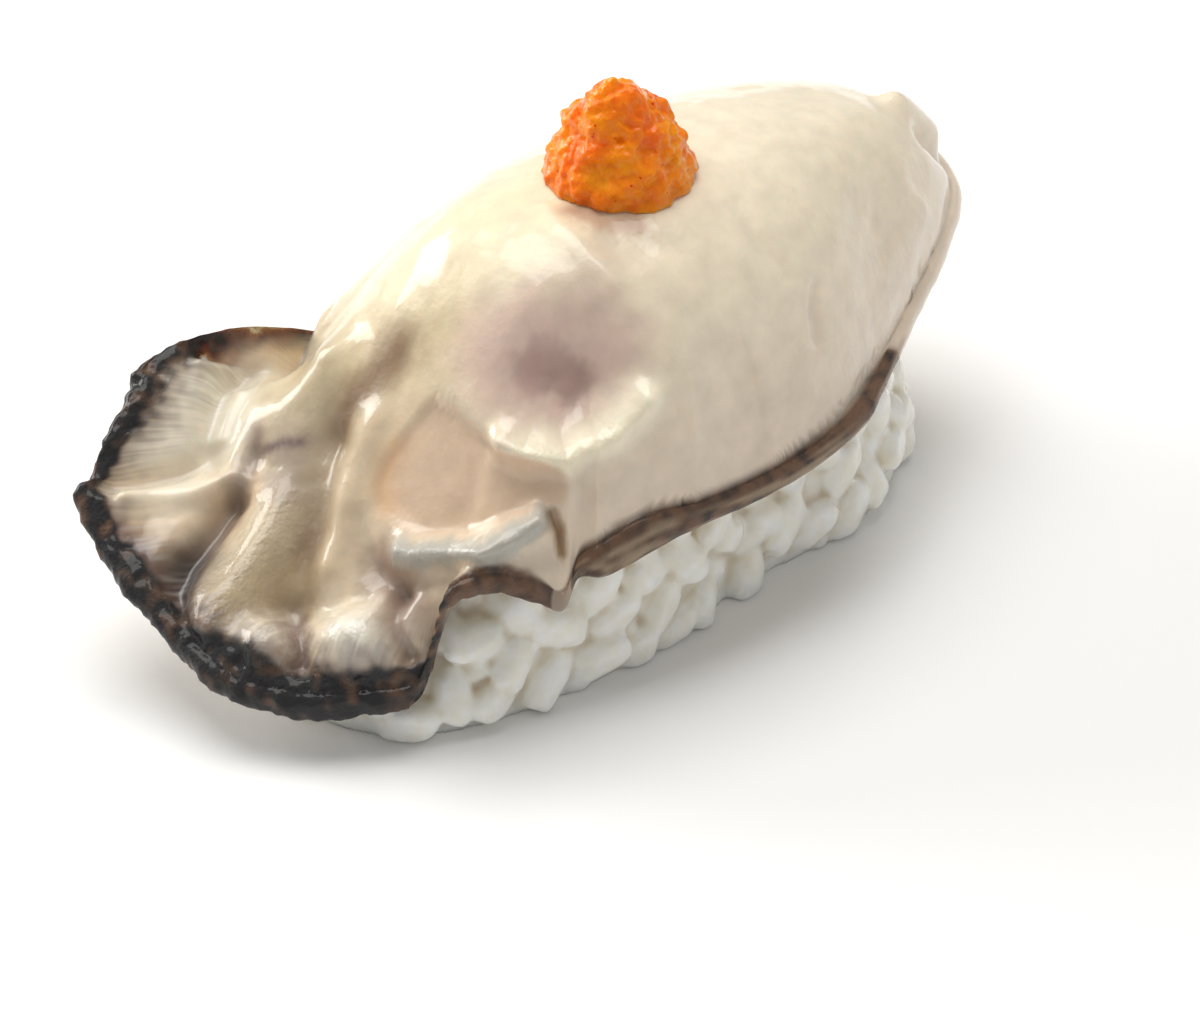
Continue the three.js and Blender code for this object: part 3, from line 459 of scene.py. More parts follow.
@lru_cache(maxsize=None)
def laid(place):
    """The point of the plain skin over a place in plan."""
    return PLAIN[np.argmin(np.sum((PLAIN[:, :2] - place) ** 2, axis=1))]


def on_skin(route):
    return np.array([laid(place) for place in route])


def distance_to_line(points, line):
    best = np.full(points.shape[:-1], np.inf)
    for a, b in zip(line[:-1], line[1:]):
        along = b - a
        share = np.clip((points - a) @ along / (along @ along), 0, 1)
        best = np.minimum(best, np.linalg.norm(points - a - share[..., None] * along, axis=-1))
    return best


def muscle_frame(points):
    """How far points lie in front of the muscle's cut face, and their places across and up on it."""
    facing = np.array(MUSCLE_FACING) / np.linalg.norm(MUSCLE_FACING)
    side = np.array([-facing[1], facing[0], 0.0]) / np.hypot(*facing[:2])
    away = points - on_skin([MUSCLE_MIDDLE])[0]
    return away @ facing, np.stack([away @ side, away @ np.cross(facing, side)], -1)


def depth_in_muscle(points):
    """How far a point lies inside the muscle's outline, seen square to its cut face; minus outside it."""
    front, flat = muscle_frame(points)
    loop = np.array([*MUSCLE_OUTLINE, MUSCLE_OUTLINE[0]], float)
    inside = np.zeros(flat.shape[:-1], bool)
    for (ax, ay), (bx, by) in zip(loop[:-1], loop[1:]):
        crosses = (ay > flat[..., 1]) != (by > flat[..., 1])
        rise = by - ay if by != ay else 1e-9
        inside ^= crosses & (flat[..., 0] < ax + (bx - ax) * (flat[..., 1] - ay) / rise)
    depth = distance_to_line(flat, loop) * np.where(inside, 1, -1)
    return np.where(np.abs(front) < MUSCLE_REACH, depth, -MUSCLE_REACH)


def along_route(points, route, width, power=2.0):
    return np.exp(-((distance_to_line(points, on_skin(route)) / width) ** power))


def round_spot(points, middle, radius, power=2.0):
    away = np.linalg.norm(points - on_skin([middle])[0], axis=-1) / radius
    return np.exp(-(away ** power))


def relief(points):
    """How far the finished skin stands out of the plain one."""
    height = np.zeros(points.shape[:-1])
    for width, rise, route in FOLDS.values():
        height += rise * along_route(points, route, width)
    for middle, radius, rise, power in SWELLINGS.values():
        height += rise * round_spot(points, middle, radius, power)
    front, _ = muscle_frame(points)
    bulge = MUSCLE_BULGE * np.tanh(front / MUSCLE_BULGE)
    return height - (MUSCLE_SINK + MUSCLE_FLATTEN * bulge) * smooth(*FACE_EDGE, depth_in_muscle(points))


def sag(points):
    """How far the underside keeps below the plain skin to stay under its grooves and hollows."""
    depth = np.zeros(points.shape[:-1])
    for width, rise, route in FOLDS.values():
        if rise < 0:
            depth -= rise * along_route(points, route, SAG_BREADTH * width)
    for middle, radius, rise, power in SWELLINGS.values():
        if rise < 0:
            depth -= rise * round_spot(points, middle, SAG_ROUND * radius, power)
    return SAG_DEPTH * depth + SAG_MUSCLE * smooth(*SAG_MUSCLE_EDGE, depth_in_muscle(points))


# The mantle's dark edge by the number of the rim point: width of the band in millimetres, and how brown it is
EDGE = np.array([
    (0, 0, 1), (4, 0.1, 1), (7, 0.3, 1), (8.5, 1.0, 1), (9.5, 2.0, 0.9), (11, 2.6, 0.5), (12.5, 2.2, 0.15),
    (14, 1.5, 0), (16, 1.1, 0.1), (17.5, 1.3, 0.3), (19, 1.9, 0.1), (20.5, 2.4, 0), (22, 2.0, 0.08),
    (23.5, 1.7, 0.2), (25, 1.2, 0.3), (26, 0.9, 0.6), (27, 0.7, 0.8), (28.8, 0.6, 1), (29.6, 0.08, 1),
    (30.6, 0.08, 1), (31.1, 0.5, 1), (32, 0.5, 1), (38.7, 0.5, 1), (39.3, 0.05, 1), (39.8, 0, 1),
    (43, 0, 1),
])
STRIP = (31.0, 39.4)              # rim points between which the edge is the brown strip below the belly
STRIP_ENDS = (0.4, 0.3)           # rim points over which the strip sets in and stops
EDGE_UNEVEN = ((0.35, 2.6, 5), (0.3, 1.0, 6))
EDGE_FADE = 2.1                   # the brown and purple fade reaches this many times as far
RAYS = (3.2, 2.4)                 # middle and half width of the pale rays that run in from the edge

# Streaks along the rim: how many go round it, how fast they change inwards, and the seed
BROAD_STREAKS = (500, 0.18, 7)
FINE_STREAKS = (1100, 0.2, 8)
STRIP_MOTTLE = (46, 5.0, 10)

CREAM = (0.70, 0.575, 0.39)
PALE_TOP = (0.86, 0.76, 0.58)
PINK_BEIGE = (0.73, 0.61, 0.485)
PURPLE_BROWN = (0.12, 0.062, 0.05)
BLACK = (0.006, 0.005, 0.006)
EDGE_BROWN = (0.145, 0.075, 0.04)
STRIP_GREY = (0.36, 0.27, 0.17)
SILVER = (0.62, 0.60, 0.55)

PALE_SPAN = (16, 36)              # height over which the flesh turns from pink beige to pale
CREAM_SHARE = 0.8
MUSCLE_TAN = (0.70, 0.52, 0.37)
MUSCLE_SHARE = 0.95
MUSCLE_RIM = (-0.25, 0.35)        # depth in the outline over which its colour sets in

# Colours laid over the flesh in order: colour, strength, reach in millimetres, places in plan
TINTS = {
    "yellow of the shoulder": ((0.84, 0.75, 0.52), 0.8, 7.0, [(-17, 9), (-9.7, 3.7), (-4, 0)]),
    "cream of the left slope": ((0.67, 0.54, 0.33), 0.8, 5.0, [(-18, 9), (-16.5, 4), (-14, -1)]),
    "brown under the topping": ((0.66, 0.54, 0.40), 0.45, 5.0, [(-2.1, -9), (-7, -8.5)]),
    "shade beside the topping": ((0.46, 0.26, 0.16), 0.75, 1.1, [(-2.0, -3.4), (-1.2, -5.9), (1.2, -7.9)]),
    "blush round the heart": ((0.70, 0.52, 0.435), 0.8, 6.0, [(-12.6, -8.8), (-9.0, -12)]),
    "heart": ((0.73, 0.545, 0.465), 0.85, 4.6, [(-11.4, -10.2), (-9.8, -12.8)]),
    "dark of the heart": ((0.45, 0.29, 0.255), 0.8, 2.5, [(-12.4, -10.2), (-11.2, -11.2), (-10.6, -12.6)]),
    # Painted shade along the inner valley's groove, over its own brown.
    "brown inner valley": ((0.20, 0.11, 0.055), 0.9, 2.2, INNER_VALLEY),
    "pale inner ridge": ((0.62, 0.49, 0.33), 0.7, 1.5, INNER_RIDGE),
    "grey wet ridge": ((0.50, 0.41, 0.27), 0.75, 2.8, WET_RIDGE),
    "purple patch of the ridge": ((0.38, 0.30, 0.26), 0.6, 2.2, [(-22.4, 7.6), (-24.6, 6.8)]),
    "peach facet": ((0.90, 0.68, 0.44), 0.95, 3.0, [(-27.8, 10.3), (-30, 11), (-33.5, 12)]),
    "brown of the facet": ((0.16, 0.085, 0.06), 0.85, 2.9, [(-37, 14), (-36.6, 9)]),
    "edge of the fold": ((0.82, 0.70, 0.52), 0.7, 0.9, FOLD_EDGE),
    # Painted shade: the deep valley and its foot are darkened along the groove, over the fold's own purple
    # brown.
    "deep valley": ((0.19, 0.105, 0.082), 0.8, 1.3, DEEP_VALLEY),
    "foot of the deep valley": ((0.03, 0.016, 0.012), 0.97, 2.9, [(-34, 8.4), (-38.6, 6)]),
    "dark line": ((0.16, 0.10, 0.10), 0.85, 0.45, DARK_LINE),
    "olive of the pocket": ((0.85, 0.80, 0.66), 0.9, 4.5, [(-22.5, 17.5), (-26.5, 15.6), (-30, 15.4)]),
    "pink hollow": ((0.26, 0.155, 0.12), 0.85, 2.6, [(-24.6, -5.0), (-25.2, -8.4)]),
    "olive by the lobes": ((0.48, 0.37, 0.22), 0.7, 2.4, [(-33, 2), (-29.5, 1)]),
    "large lobe": ((0.86, 0.84, 0.74), 0.9, 2.8, [LARGE_LOBE]),
    "small lobe": ((0.92, 0.86, 0.72), 0.9, 2.4, [SMALL_LOBE]),
    # Painted shade in the valley between the lobes, over its own purple brown.
    "valley between the lobes": ((0.19, 0.11, 0.09), 0.85, 1.1, LOBE_VALLEY),
    "hanging fold": ((0.34, 0.23, 0.18), 0.7, 0.9, HANGING_FOLD),
    "ridge round the heart": ((0.93, 0.86, 0.66), 0.9, 1.8, HEART_RIDGE[3:]),
    "tongue": ((0.56, 0.46, 0.36), 0.7, 1.3, [(-20.6, -14.2), (-17.4, -15.7), (-15.8, -16.3)]),
    "white crescent": ((0.44, 0.43, 0.38), 0.95, 1.25, CRESCENT),
    "orange edge of the muscle": ((0.76, 0.45, 0.22), 0.5, 1.2, [(-19.6, -1.1), (-21.2, -1.1), (-22, -2.4)]),
    "brown crevice": ((0.28, 0.15, 0.055), 0.9, 0.42, CREVICE),
}
FIRM = ("blush round the heart", "heart", "dark of the heart", "white crescent", "peach facet")
FIRM_POWER = 5.0
SOFT_POWER = 2.0
TINT_DRIFT = ((0.35, 1.1), (0.2, 0.35))   # how uneven a reach is, and the size of that beside the reach

# Where the skin is finely wrinkled and sparkles: places in plan and their reach
WRINKLED = [
    (WET_RIDGE[3:], 2.6), ([LARGE_LOBE], 3.0), ([SMALL_LOBE], 2.6), (CRESCENT, 1.2), (HEART_RIDGE[3:-2], 0.9),
]
LIQUOR_REACH = 1.2                # beside each ridge of liquor, where the skin is smooth
LIQUOR_POWER = 4.0


def edge_at(round_share):
    number = round_share * len(RIM)
    return np.interp(number, EDGE[:, 0], EDGE[:, 1]), np.interp(number, EDGE[:, 0], EDGE[:, 2])


def strip_share(round_share):
    number = round_share * len(RIM)
    start, end = STRIP
    return smooth(start - STRIP_ENDS[0], start, number) * smooth(end + STRIP_ENDS[1], end, number)


def near(points, places, reach, power=2.0):
    if len(places) == 1:
        return round_spot(points, places[0], reach, power)
    return along_route(points, places, reach, power)


def along_rim(round_share, away, turns, change, seed):
    """Noise in streaks that run in from the rim."""
    return noise(np.column_stack([round_share * turns, away * change, np.zeros(len(away))]), 1.0, seed)


def tint(paint, colour, share):
    return mix(paint, np.array(colour), share[:, None])


def bare_paint(points):
    """Colour of the flesh without its dark edge."""
    x, y, z = points.T
    paint = mix(np.array(PINK_BEIGE), np.array(PALE_TOP), smooth(*PALE_SPAN, z)[:, None])
    paint = tint(paint, CREAM, CREAM_SHARE * frill_share(x))
    muscle = smooth(*MUSCLE_RIM, depth_in_muscle(points))
    for name, (colour, strength, reach, places) in TINTS.items():
        if name == "white crescent":
            paint = tint(paint, MUSCLE_TAN, MUSCLE_SHARE * muscle)
        drift = 1 + layers(points, *((amount, size * reach, len(name)) for amount, size in TINT_DRIFT))
        power = FIRM_POWER if name in FIRM else SOFT_POWER
        paint = tint(paint, colour, strength * near(points, places, reach * drift, power))
    return paint


def flesh_paint(points, inward, side, round_share):
    """Colour of the flesh at each point, and how far it is the black, warty edge."""
    paint = bare_paint(points)
    frill = frill_share(points[:, 0])
    band, brown = edge_at(round_share)
    seen = smooth(0.02, 0.12, band)
    reach = np.maximum(band * (1 + frill * layers(points, *EDGE_UNEVEN)), 1e-3)
    lip = (side > 0) & (side < 1)
    away = np.where(lip, 0.0, inward)

    # The flesh darkens towards the edge, in streaks with pale rays between them
    broad = along_rim(round_share, inward, *BROAD_STREAKS)
    fine = along_rim(round_share, inward, *FINE_STREAKS)
    fade = np.exp(-(away / (EDGE_FADE * reach * (1 + 0.4 * broad))) ** 2) * smooth(0.3, 0.9, band) * frill
    rays = frill * np.exp(-((away - RAYS[0]) / RAYS[1]) ** 2) * smooth(0.3, 1.2, band)
    paint = tint(paint, PURPLE_BROWN, np.clip((0.95 + 0.2 * broad) * fade, 0, 1))
    paint = tint(paint, SILVER, 0.3 * rays * smooth(0.05, 0.5, broad))
    paint = tint(paint, PURPLE_BROWN, 0.15 * rays * smooth(0.1, 0.55, fine))

    # The edge itself, firmer round the frill than along the belly
    dark = tint(np.array(BLACK), EDGE_BROWN, np.clip(brown - 0.2 + 1.1 * noise(points, 1.3, 9), 0, 1))
    soft = mix(1.0, 0.3, frill)
    black = (1 - smooth(1 - soft * 0.9, 1 + soft * 1.4, away / reach)) * seen
    paint = mix(paint, dark, black[:, None])

    # Grey flesh showing through the brown of the strip
    strip = strip_share(round_share) * lip
    mottle = along_rim(round_share, side, *STRIP_MOTTLE)
    paint = tint(paint, STRIP_GREY, 0.75 * strip * smooth(-0.25, 0.55, mottle) * smooth(0.1, 0.25, side))
    return np.clip(paint, 0, 1), np.maximum(black, strip) * seen


def under_height(x, y):
    frill = 1 - smooth(*UNDER_FRILL_SPAN, x)
    free = mix(SEAT_LOW, body_height(x, y) - FRILL_THICKNESS, frill)
    return soft_max(free, seat_top(x, y), SEAT_ROUND)


def under_skin(t, rho, top):
    """Underside below the skin points `top`, which are at the same places in plan."""
    plan, inward, rim = plan_place(t, rho)
    x, y = plan[..., 0], plan[..., 1]
    rx, ry, rz, lip_height = (rim[..., k] for k in range(4))
    steps = RIM[:, 2] - RIM[:, 3] - under_height(RIM[:, 0], RIM[:, 1])
    free = under_height(x, y) + pull_to_rim(t, inward, rz - lip_height - under_height(rx, ry), steps)
    z = soft_max(free, seat_top(x, y), SEAT_ROUND * (1 - hold(inward, EDGE_BLEND)))
    return np.stack([x, y, np.minimum(z, top[..., 2] - SKIN_LEAST)], -1)


# ---- Meshes ----

def make_piece(name, points, faces, marks=None, colours=None):
    """A smooth mesh from points in millimetres, with numbers or colours on its points."""
    mesh = bpy.data.meshes.new(name)
    mesh.vertices.add(len(points))
    mesh.vertices.foreach_set("co", (np.asarray(points) * MM).astype(np.float32).ravel())
    mesh.loops.add(faces.size)
    mesh.loops.foreach_set("vertex_index", faces.ravel().astype(np.int32))
    mesh.polygons.add(len(faces))
    mesh.polygons.foreach_set("loop_start", np.arange(0, faces.size, faces.shape[1], dtype=np.int32))
    mesh.polygons.foreach_set("use_smooth", np.ones(len(faces), bool))
    mesh.update(calc_edges=True)
    mesh.validate()
    for key, values in (marks or {}).items():
        mesh.attributes.new(key, "FLOAT", "POINT").data.foreach_set("value", values.astype(np.float32))
    for key, values in (colours or {}).items():
        rgba = np.column_stack([values, np.ones(len(values))]).astype(np.float32)
        mesh.attributes.new(key, "FLOAT_COLOR", "POINT").data.foreach_set("color", rgba.ravel())
    piece = bpy.data.objects.new(name, mesh)
    bpy.context.scene.collection.objects.link(piece)
    return piece


def ring_faces(rings, count):
    """Triangles of a closed skin: a top point, rings of `count` points from the top down, a bottom point."""
    i = np.arange(count)
    j = (i + 1) % count
    faces = [np.column_stack([np.zeros(count, int), 1 + i, 1 + j])]
    for k in range(rings - 1):
        a, b = 1 + k * count, 1 + (k + 1) * count
        faces += [np.column_stack([a + i, b + i, b + j]), np.column_stack([a + i, b + j, a + j])]
    end = 1 + (rings - 1) * count
    faces.append(np.column_stack([end + i, np.full(count, end + count), end + j]))
    return np.concatenate(faces)


# ---- Oyster ----

def upper_skin(t, rho):
    """The finished skin, the plain one below it, and how far inside the rim each point is."""
    plain, inward = plain_skin(t, rho)
    facing = body_normal(*mix(plain[:, :2], POLE, NORMAL_INWARD).T, NORMAL_STEP)
    return plain + facing * (relief(plain) * smooth(0, RELIEF_STOP, inward))[:, None], plain, inward


def rim_ways_out(rim):
    out = rim[:, :2] - POLE
    return out / np.linalg.norm(out, axis=1, keepdims=True)


def oyster_grid():
    """Points of the fine skin from the pole to the seat, their places on the plain skin, and what each is."""
    t = np.arange(OYSTER_ROUND) / OYSTER_ROUND
    rim = rim_at(t)
    ragged = frill_share(rim[:, 0]) * (1 - RAGGED_LEAST) + RAGGED_LEAST
    wander = ragged * layers(rim[:, :3], *RAGGED)
    out = rim_ways_out(rim)

    rings, inwards, sides, plains = [], [], [], []

    def add_ring(ring, inward, side):
        rings.append(ring)
        inwards.append(inward)
        sides.append(np.full(OYSTER_ROUND, side))

    def wandering(skin, inward):
        skin[:, :2] += out * (wander * np.exp(-inward / RAGGED_REACH))[:, None]
        return skin

    for k in range(1, OYSTER_TOP_RINGS):
        rho = np.full(OYSTER_ROUND, 1 - (1 - k / OYSTER_TOP_RINGS) ** OYSTER_TOP_CROWD)
        skin, plain, inward = upper_skin(t, rho)
        add_ring(wandering(skin, inward), inward, 0.0)
        plains.append(plain)
    for angle in np.linspace(math.pi / 2, -math.pi / 2, OYSTER_LIP_STEPS):
        lip = rim[:, :3].copy()
        lip[:, :2] += out * (rim[:, 4] * math.cos(angle) + wander)[:, None]
        lip[:, 2] += rim[:, 3] * math.sin(angle)
        add_ring(lip, np.zeros(OYSTER_ROUND), 0.5 - math.sin(angle) / 2)
    for k in range(1, OYSTER_UNDER_RINGS):
        rho = np.full(OYSTER_ROUND, (1 - k / OYSTER_UNDER_RINGS) ** OYSTER_UNDER_CROWD)
        top, inward = plain_skin(t, rho)
        top[:, 2] -= sag(top) * smooth(0, RELIEF_STOP, inward)
        add_ring(wandering(under_skin(t, rho, top), inward), inward, 1.0)

    plain, _ = plain_skin(np.zeros(1), np.zeros(1))
    top = plain + body_normal(plain[:, 0], plain[:, 1]) * relief(plain)[:, None]
    points = np.concatenate([top, *rings, under_skin(np.zeros(1), np.zeros(1), top)])
    places = points.copy()
    places[1:1 + len(plains) * OYSTER_ROUND] = np.concatenate(plains)

    # On top, the way in from the rim is measured along the skin
    steps = np.linalg.norm(np.diff(rings[:OYSTER_TOP_RINGS], axis=0), axis=-1)
    inwards[:OYSTER_TOP_RINGS - 1] = list(np.cumsum(steps[::-1], axis=0)[::-1])
    inward = np.concatenate([[POLE_INWARD], *inwards, [POLE_INWARD]])
    side = np.concatenate([[0.0], *sides, [1.0]])
    round_share = np.concatenate([[0.0], np.tile(t, len(rings)), [0.0]])
    return points, places, inward, side, round_share, len(rings)


def point_normals(points, faces):
    corners = points[faces]
    facing = np.cross(corners[:, 1] - corners[:, 0], corners[:, 2] - corners[:, 0])
    total = np.zeros_like(points)
    for k in range(3):
        np.add.at(total, faces[:, k], facing)
    return total / np.maximum(np.linalg.norm(total, axis=1, keepdims=True), 1e-12)


def make_oyster():
    points, places, inward, side, round_share, rings = oyster_grid()
    faces = ring_faces(rings, OYSTER_ROUND)
    paint, black = flesh_paint(places, inward, side, round_share)
    warts = black * frill_share(points[:, 0])
    wrinkled = np.max([near(places, route, reach) for route, reach in WRINKLED], axis=0)
    liquor = (SLOPE_LIQUOR, FOLD_LIQUOR, TOP_LIQUOR)
    wet = np.max([near(places, route, LIQUOR_REACH, LIQUOR_POWER) for route in liquor], axis=0)
    stand_out = warts * layers(points, *WARTS) + layers(points, *SOFT_LUMPS) * (1 - warts) * (1 - wet)
    points += point_normals(points, faces) * stand_out[:, None]
    marks = {"black": black, "wrinkled": wrinkled, "wet": wet}
    return make_piece("oyster_flesh", points, faces, marks, {"paint": paint})


# ---- Rice ----

def rice_core():
    angle = 2 * math.pi * np.arange(CORE_ROUND) / CORE_ROUND
    reach = core_reach(angle)
    rings = []
    for share in CORE_RINGS:
        px, py = share * reach * np.cos(angle), share * reach * np.sin(angle)
        inset = 1 - CORE_SHRINK / np.hypot(px, py)
        height = np.maximum(rice_top(px, py) - CORE_SHRINK, 0.0) if share < 1 else np.zeros(CORE_ROUND)
        rings.append(np.column_stack([px * inset, py * inset, height]))
    points = np.concatenate([[[0, 0, RICE_HEIGHT - CORE_SHRINK]], *rings, [[0, 0, 0]]])
    return points, ring_faces(len(rings), CORE_ROUND)


def grain_shape():
    """A short grain about its own middle: plump, a little flat, blunt at one end where the germ was."""
    latitude = np.linspace(0, math.pi, GRAIN_LONG + 1)[1:-1]
    turn = 2 * math.pi * np.arange(GRAIN_ROUND) / GRAIN_ROUND
    depth, place, reach = GRAIN_NOTCH
    rings = []
    for angle in latitude:
        along = math.cos(angle)
        wide = math.sin(angle) ** GRAIN_BLUNT
        notch = depth * math.exp(-(((along - place) / reach) ** 2))
        rings.append(np.column_stack([
            np.full(GRAIN_ROUND, along),
            wide * np.cos(turn) * (1 - notch * np.clip(np.cos(turn), 0, 1)),
            wide * np.sin(turn) * (1 - GRAIN_FLAT * np.abs(np.sin(turn)) ** 3),
        ]))
    points = np.concatenate([[[1.0, 0, 0]], *rings, [[-1.0, 0, 0]]])
    return points, ring_faces(len(rings), GRAIN_ROUND)


def core_side(angle, height):
    """Points of the core's side at heights, in the directions of angles, and the ways out of it there."""
    cos, sin = np.cos(angle), np.sin(angle)
    away = last_that(lambda d: rice_top(d * cos, d * sin) > height, np.zeros(len(angle)), core_reach(angle))
    x, y = away * cos, away * sin
    e = 0.1
    out = np.column_stack([rice_top(x - e, y) - rice_top(x + e, y), rice_top(x, y - e) - rice_top(x, y + e),
                           np.full(len(x), 2 * e)])
    return np.column_stack([x, y, height]), out / np.linalg.norm(out, axis=1, keepdims=True)


class OysterRoof:
    """Tells whether points lie clear under the oyster, by its lowest point over each cell of a plan grid."""

    def __init__(self):
        self.lowest = np.full((ROOF_CELLS, ROOF_CELLS), np.inf)
        t = np.arange(ROOF_ROUND) / ROOF_ROUND
        for rho in np.linspace(0, 1, ROOF_RINGS):
            top, _ = plain_skin(t, np.full(len(t), rho))
            self.cover(under_skin(t, np.full(len(t), rho), top))
        rim = rim_at(t)
        for share in (0.5, 1.0):
            lip = rim[:, :3] - [0, 0, 1] * rim[:, 3:4]
            lip[:, :2] += rim_ways_out(rim) * rim[:, 4:5] * share
            self.cover(lip)

    def cell(self, plan):
        return tuple(np.clip((plan / ROOF_CELL + ROOF_CELLS / 2).astype(int), 0, ROOF_CELLS - 1).T)

    def cover(self, points):
        np.minimum.at(self.lowest, self.cell(points[:, :2]), points[:, 2])

    def is_clear(self, points, room):
        for dx in (-room, 0, room):
            for dy in (-room, 0, room):
                if np.any(points[:, 2] + room > self.lowest[self.cell(points[:, :2] + [dx, dy])]):
                    return False
        return True


def place_grains():
    """Places of the grains: random over the core's side, no two too close, and only those that keep clear
    under the oyster.
    """
    draw = draws(GRAIN_SEED)
    roof = OysterRoof()
    shape, _ = grain_shape()
    probe = shape[::5]
    placings = []
    for sink, apart, tries in GRAIN_LAYERS:
        taken = np.empty((0, 3))
        chance = np.array([[next(draw) for _ in range(5)] for _ in range(tries)])
        heights = GRAIN_HEIGHTS[0] + GRAIN_HEIGHTS[1] * chance[:, 1]
        turns = chance[:, 2:] * GRAIN_SPANS + GRAIN_LEAST
        for at, out, (spin, tilt, size) in zip(*core_side(2 * math.pi * chance[:, 0], heights), turns):
            middle = at - out * sink
            if len(taken) and np.min(np.linalg.norm(taken - middle, axis=1)) < apart:
                continue
            along = np.array([-out[1], out[0], 0.0])
            along /= np.linalg.norm(along)
            axes = np.column_stack([along, np.cross(out, along), out])
            turn = np.array(Matrix.Rotation(spin, 3, "Z") @ Matrix.Rotation(tilt, 3, "Y"))
            frame_axes = axes @ turn @ np.diag(np.array(GRAIN) * size)
            if roof.is_clear(probe @ frame_axes.T + middle, GRAIN_ROOM):
                taken = np.vstack([taken, middle])
                placings.append((frame_axes, middle))
    return placings


def gap_marks(mesh, skin):
    """How deep in a gap between grains each point lies, in millimetres: its way out to the evened skin."""
    ends = np.empty(len(mesh.edges) * 2, np.int32)
    mesh.edges.foreach_get("vertices", ends)
    a, b = ends.reshape(-1, 2).T
    normals = np.empty(len(skin) * 3, np.float32)
    mesh.vertices.foreach_get("normal", normals)
    share = 1 / np.bincount(np.concatenate([a, b]), minlength=len(skin))
    even = skin.astype(float)
    for _ in range(GAP_STEPS):
        even = np.column_stack([np.bincount(a, axis[b], len(skin)) + np.bincount(b, axis[a], len(skin))
                                for axis in even.T]) * share[:, None]
    return (np.sum((even - skin) * normals.reshape(-1, 3), axis=1) / MM).astype(np.float32)


def make_rice():
    """Core and grains as one skin: cooked grains stick, so the corners between them are rounded."""
    shape, faces = grain_shape()
    draw = draws(GRAIN_SEED + 1)
    core, core_faces = rice_core()
    points, all_faces, count = [core], [core_faces], len(core)
    for axes, middle in place_grains():
        bend = (next(draw) - 0.5) * GRAIN_BEND
        bent = shape.copy()
        bent[:, 1] += bend * (1 - shape[:, 0] ** 2)
        placed = bent @ axes.T + middle
        placed += layers(placed, GRAIN_LUMPS)[:, None] * (shape @ axes.T)
        placed[:, 2] = np.maximum(placed[:, 2], GRAIN_FOOT[0] + GRAIN_FOOT[1] * next(draw))
        points.append(placed)
        all_faces.append(faces + count)
        count += len(shape)
    loose = make_piece("loose_rice", np.concatenate(points), np.concatenate(all_faces))
    join = loose.modifiers.new("join", "REMESH")
    join.mode, join.voxel_size, join.use_smooth_shade = "VOXEL", RICE_VOXEL * MM, True
    ease = loose.modifiers.new("ease", "SMOOTH")
    ease.factor, ease.iterations = RICE_EASE
    joined = bpy.data.meshes.new_from_object(loose.evaluated_get(bpy.context.evaluated_depsgraph_get()))
    bpy.data.meshes.remove(loose.data)
    joined.name = "rice_grains"
    skin = np.empty(len(joined.vertices) * 3, np.float32)
    joined.vertices.foreach_get("co", skin)
    skin = skin.reshape(-1, 3)
    skin[:, 2] = np.maximum(skin[:, 2], 0)
    joined.vertices.foreach_set("co", skin.ravel())
    joined.update()
    joined.attributes.new("gap", "FLOAT", "POINT").data.foreach_set("value", gap_marks(joined, skin))
    piece = bpy.data.objects.new("rice_grains", joined)
    bpy.context.scene.collection.objects.link(piece)
    return piece


# ---- Topping ----

def topping_floor(x, y):
    plain = body_height(x, y)
    return plain + relief(np.column_stack([x, y, plain])) + TOPPING_GAP


def make_topping():
    turn = 2 * math.pi * np.arange(TOPPING_ROUND) / TOPPING_ROUND
    seat = body_height(*TOPPING_AT)
    narrowing, fullness = TOPPING_PROFILE
    rings = []
    for k in range(TOPPING_STEPS - 1, 0, -1):
        rise = k / TOPPING_STEPS
        radius = TOPPING_RADIUS * (1 - rise ** narrowing) ** fullness
        plan = TOPPING_AT + TOPPING_LEAN * rise ** TOPPING_LEAN_POWER
        x = plan[0] + radius * np.cos(turn)
        y = plan[1] + radius * np.sin(turn)
        rings.append(np.column_stack([x, y, mix(topping_floor(x, y), seat + TOPPING_HEIGHT, rise)]))
    x = TOPPING_AT[0] + TOPPING_RADIUS / 2 * np.cos(turn)
    y = TOPPING_AT[1] + TOPPING_RADIUS / 2 * np.sin(turn)
    rings.append(np.column_stack([x, y, topping_floor(x, y)]))
    tip = [*(TOPPING_AT + TOPPING_LEAN), seat + TOPPING_HEIGHT]
    foot = [*TOPPING_AT, seat + TOPPING_GAP]
    points = np.concatenate([[tip], *rings, [foot]])
    out = points - [*TOPPING_AT, seat + TOPPING_HEART]
    out /= np.linalg.norm(out, axis=1, keepdims=True)
    above = smooth(-1.0, 1.0, points[:, 2] - body_height(points[:, 0], points[:, 1]))
    points = points + out * (layers(points, *TOPPING_LUMPS) * above)[:, None]
    return make_piece("radish_mound", points, ring_faces(len(rings), TOPPING_ROUND))


# ---- Finishes ----

class Wire:
    """A shader value that adds Math nodes where it is used in an expression."""

    def __init__(self, finish, socket):
        self.finish = finish
        self.socket = socket

    def _join(self, operation, *values):
        return self.finish.node("ShaderNodeMath", {"operation": operation}, dict(enumerate(values)))

    def __add__(self, other):
        return self._join("ADD", self, other)

    __radd__ = __add__

    def __sub__(self, other):
        return self._join("SUBTRACT", self, other)

    def __rsub__(self, other):
        return self._join("SUBTRACT", other, self)

    def __mul__(self, other):
        return self._join("MULTIPLY", self, other)

    __rmul__ = __mul__


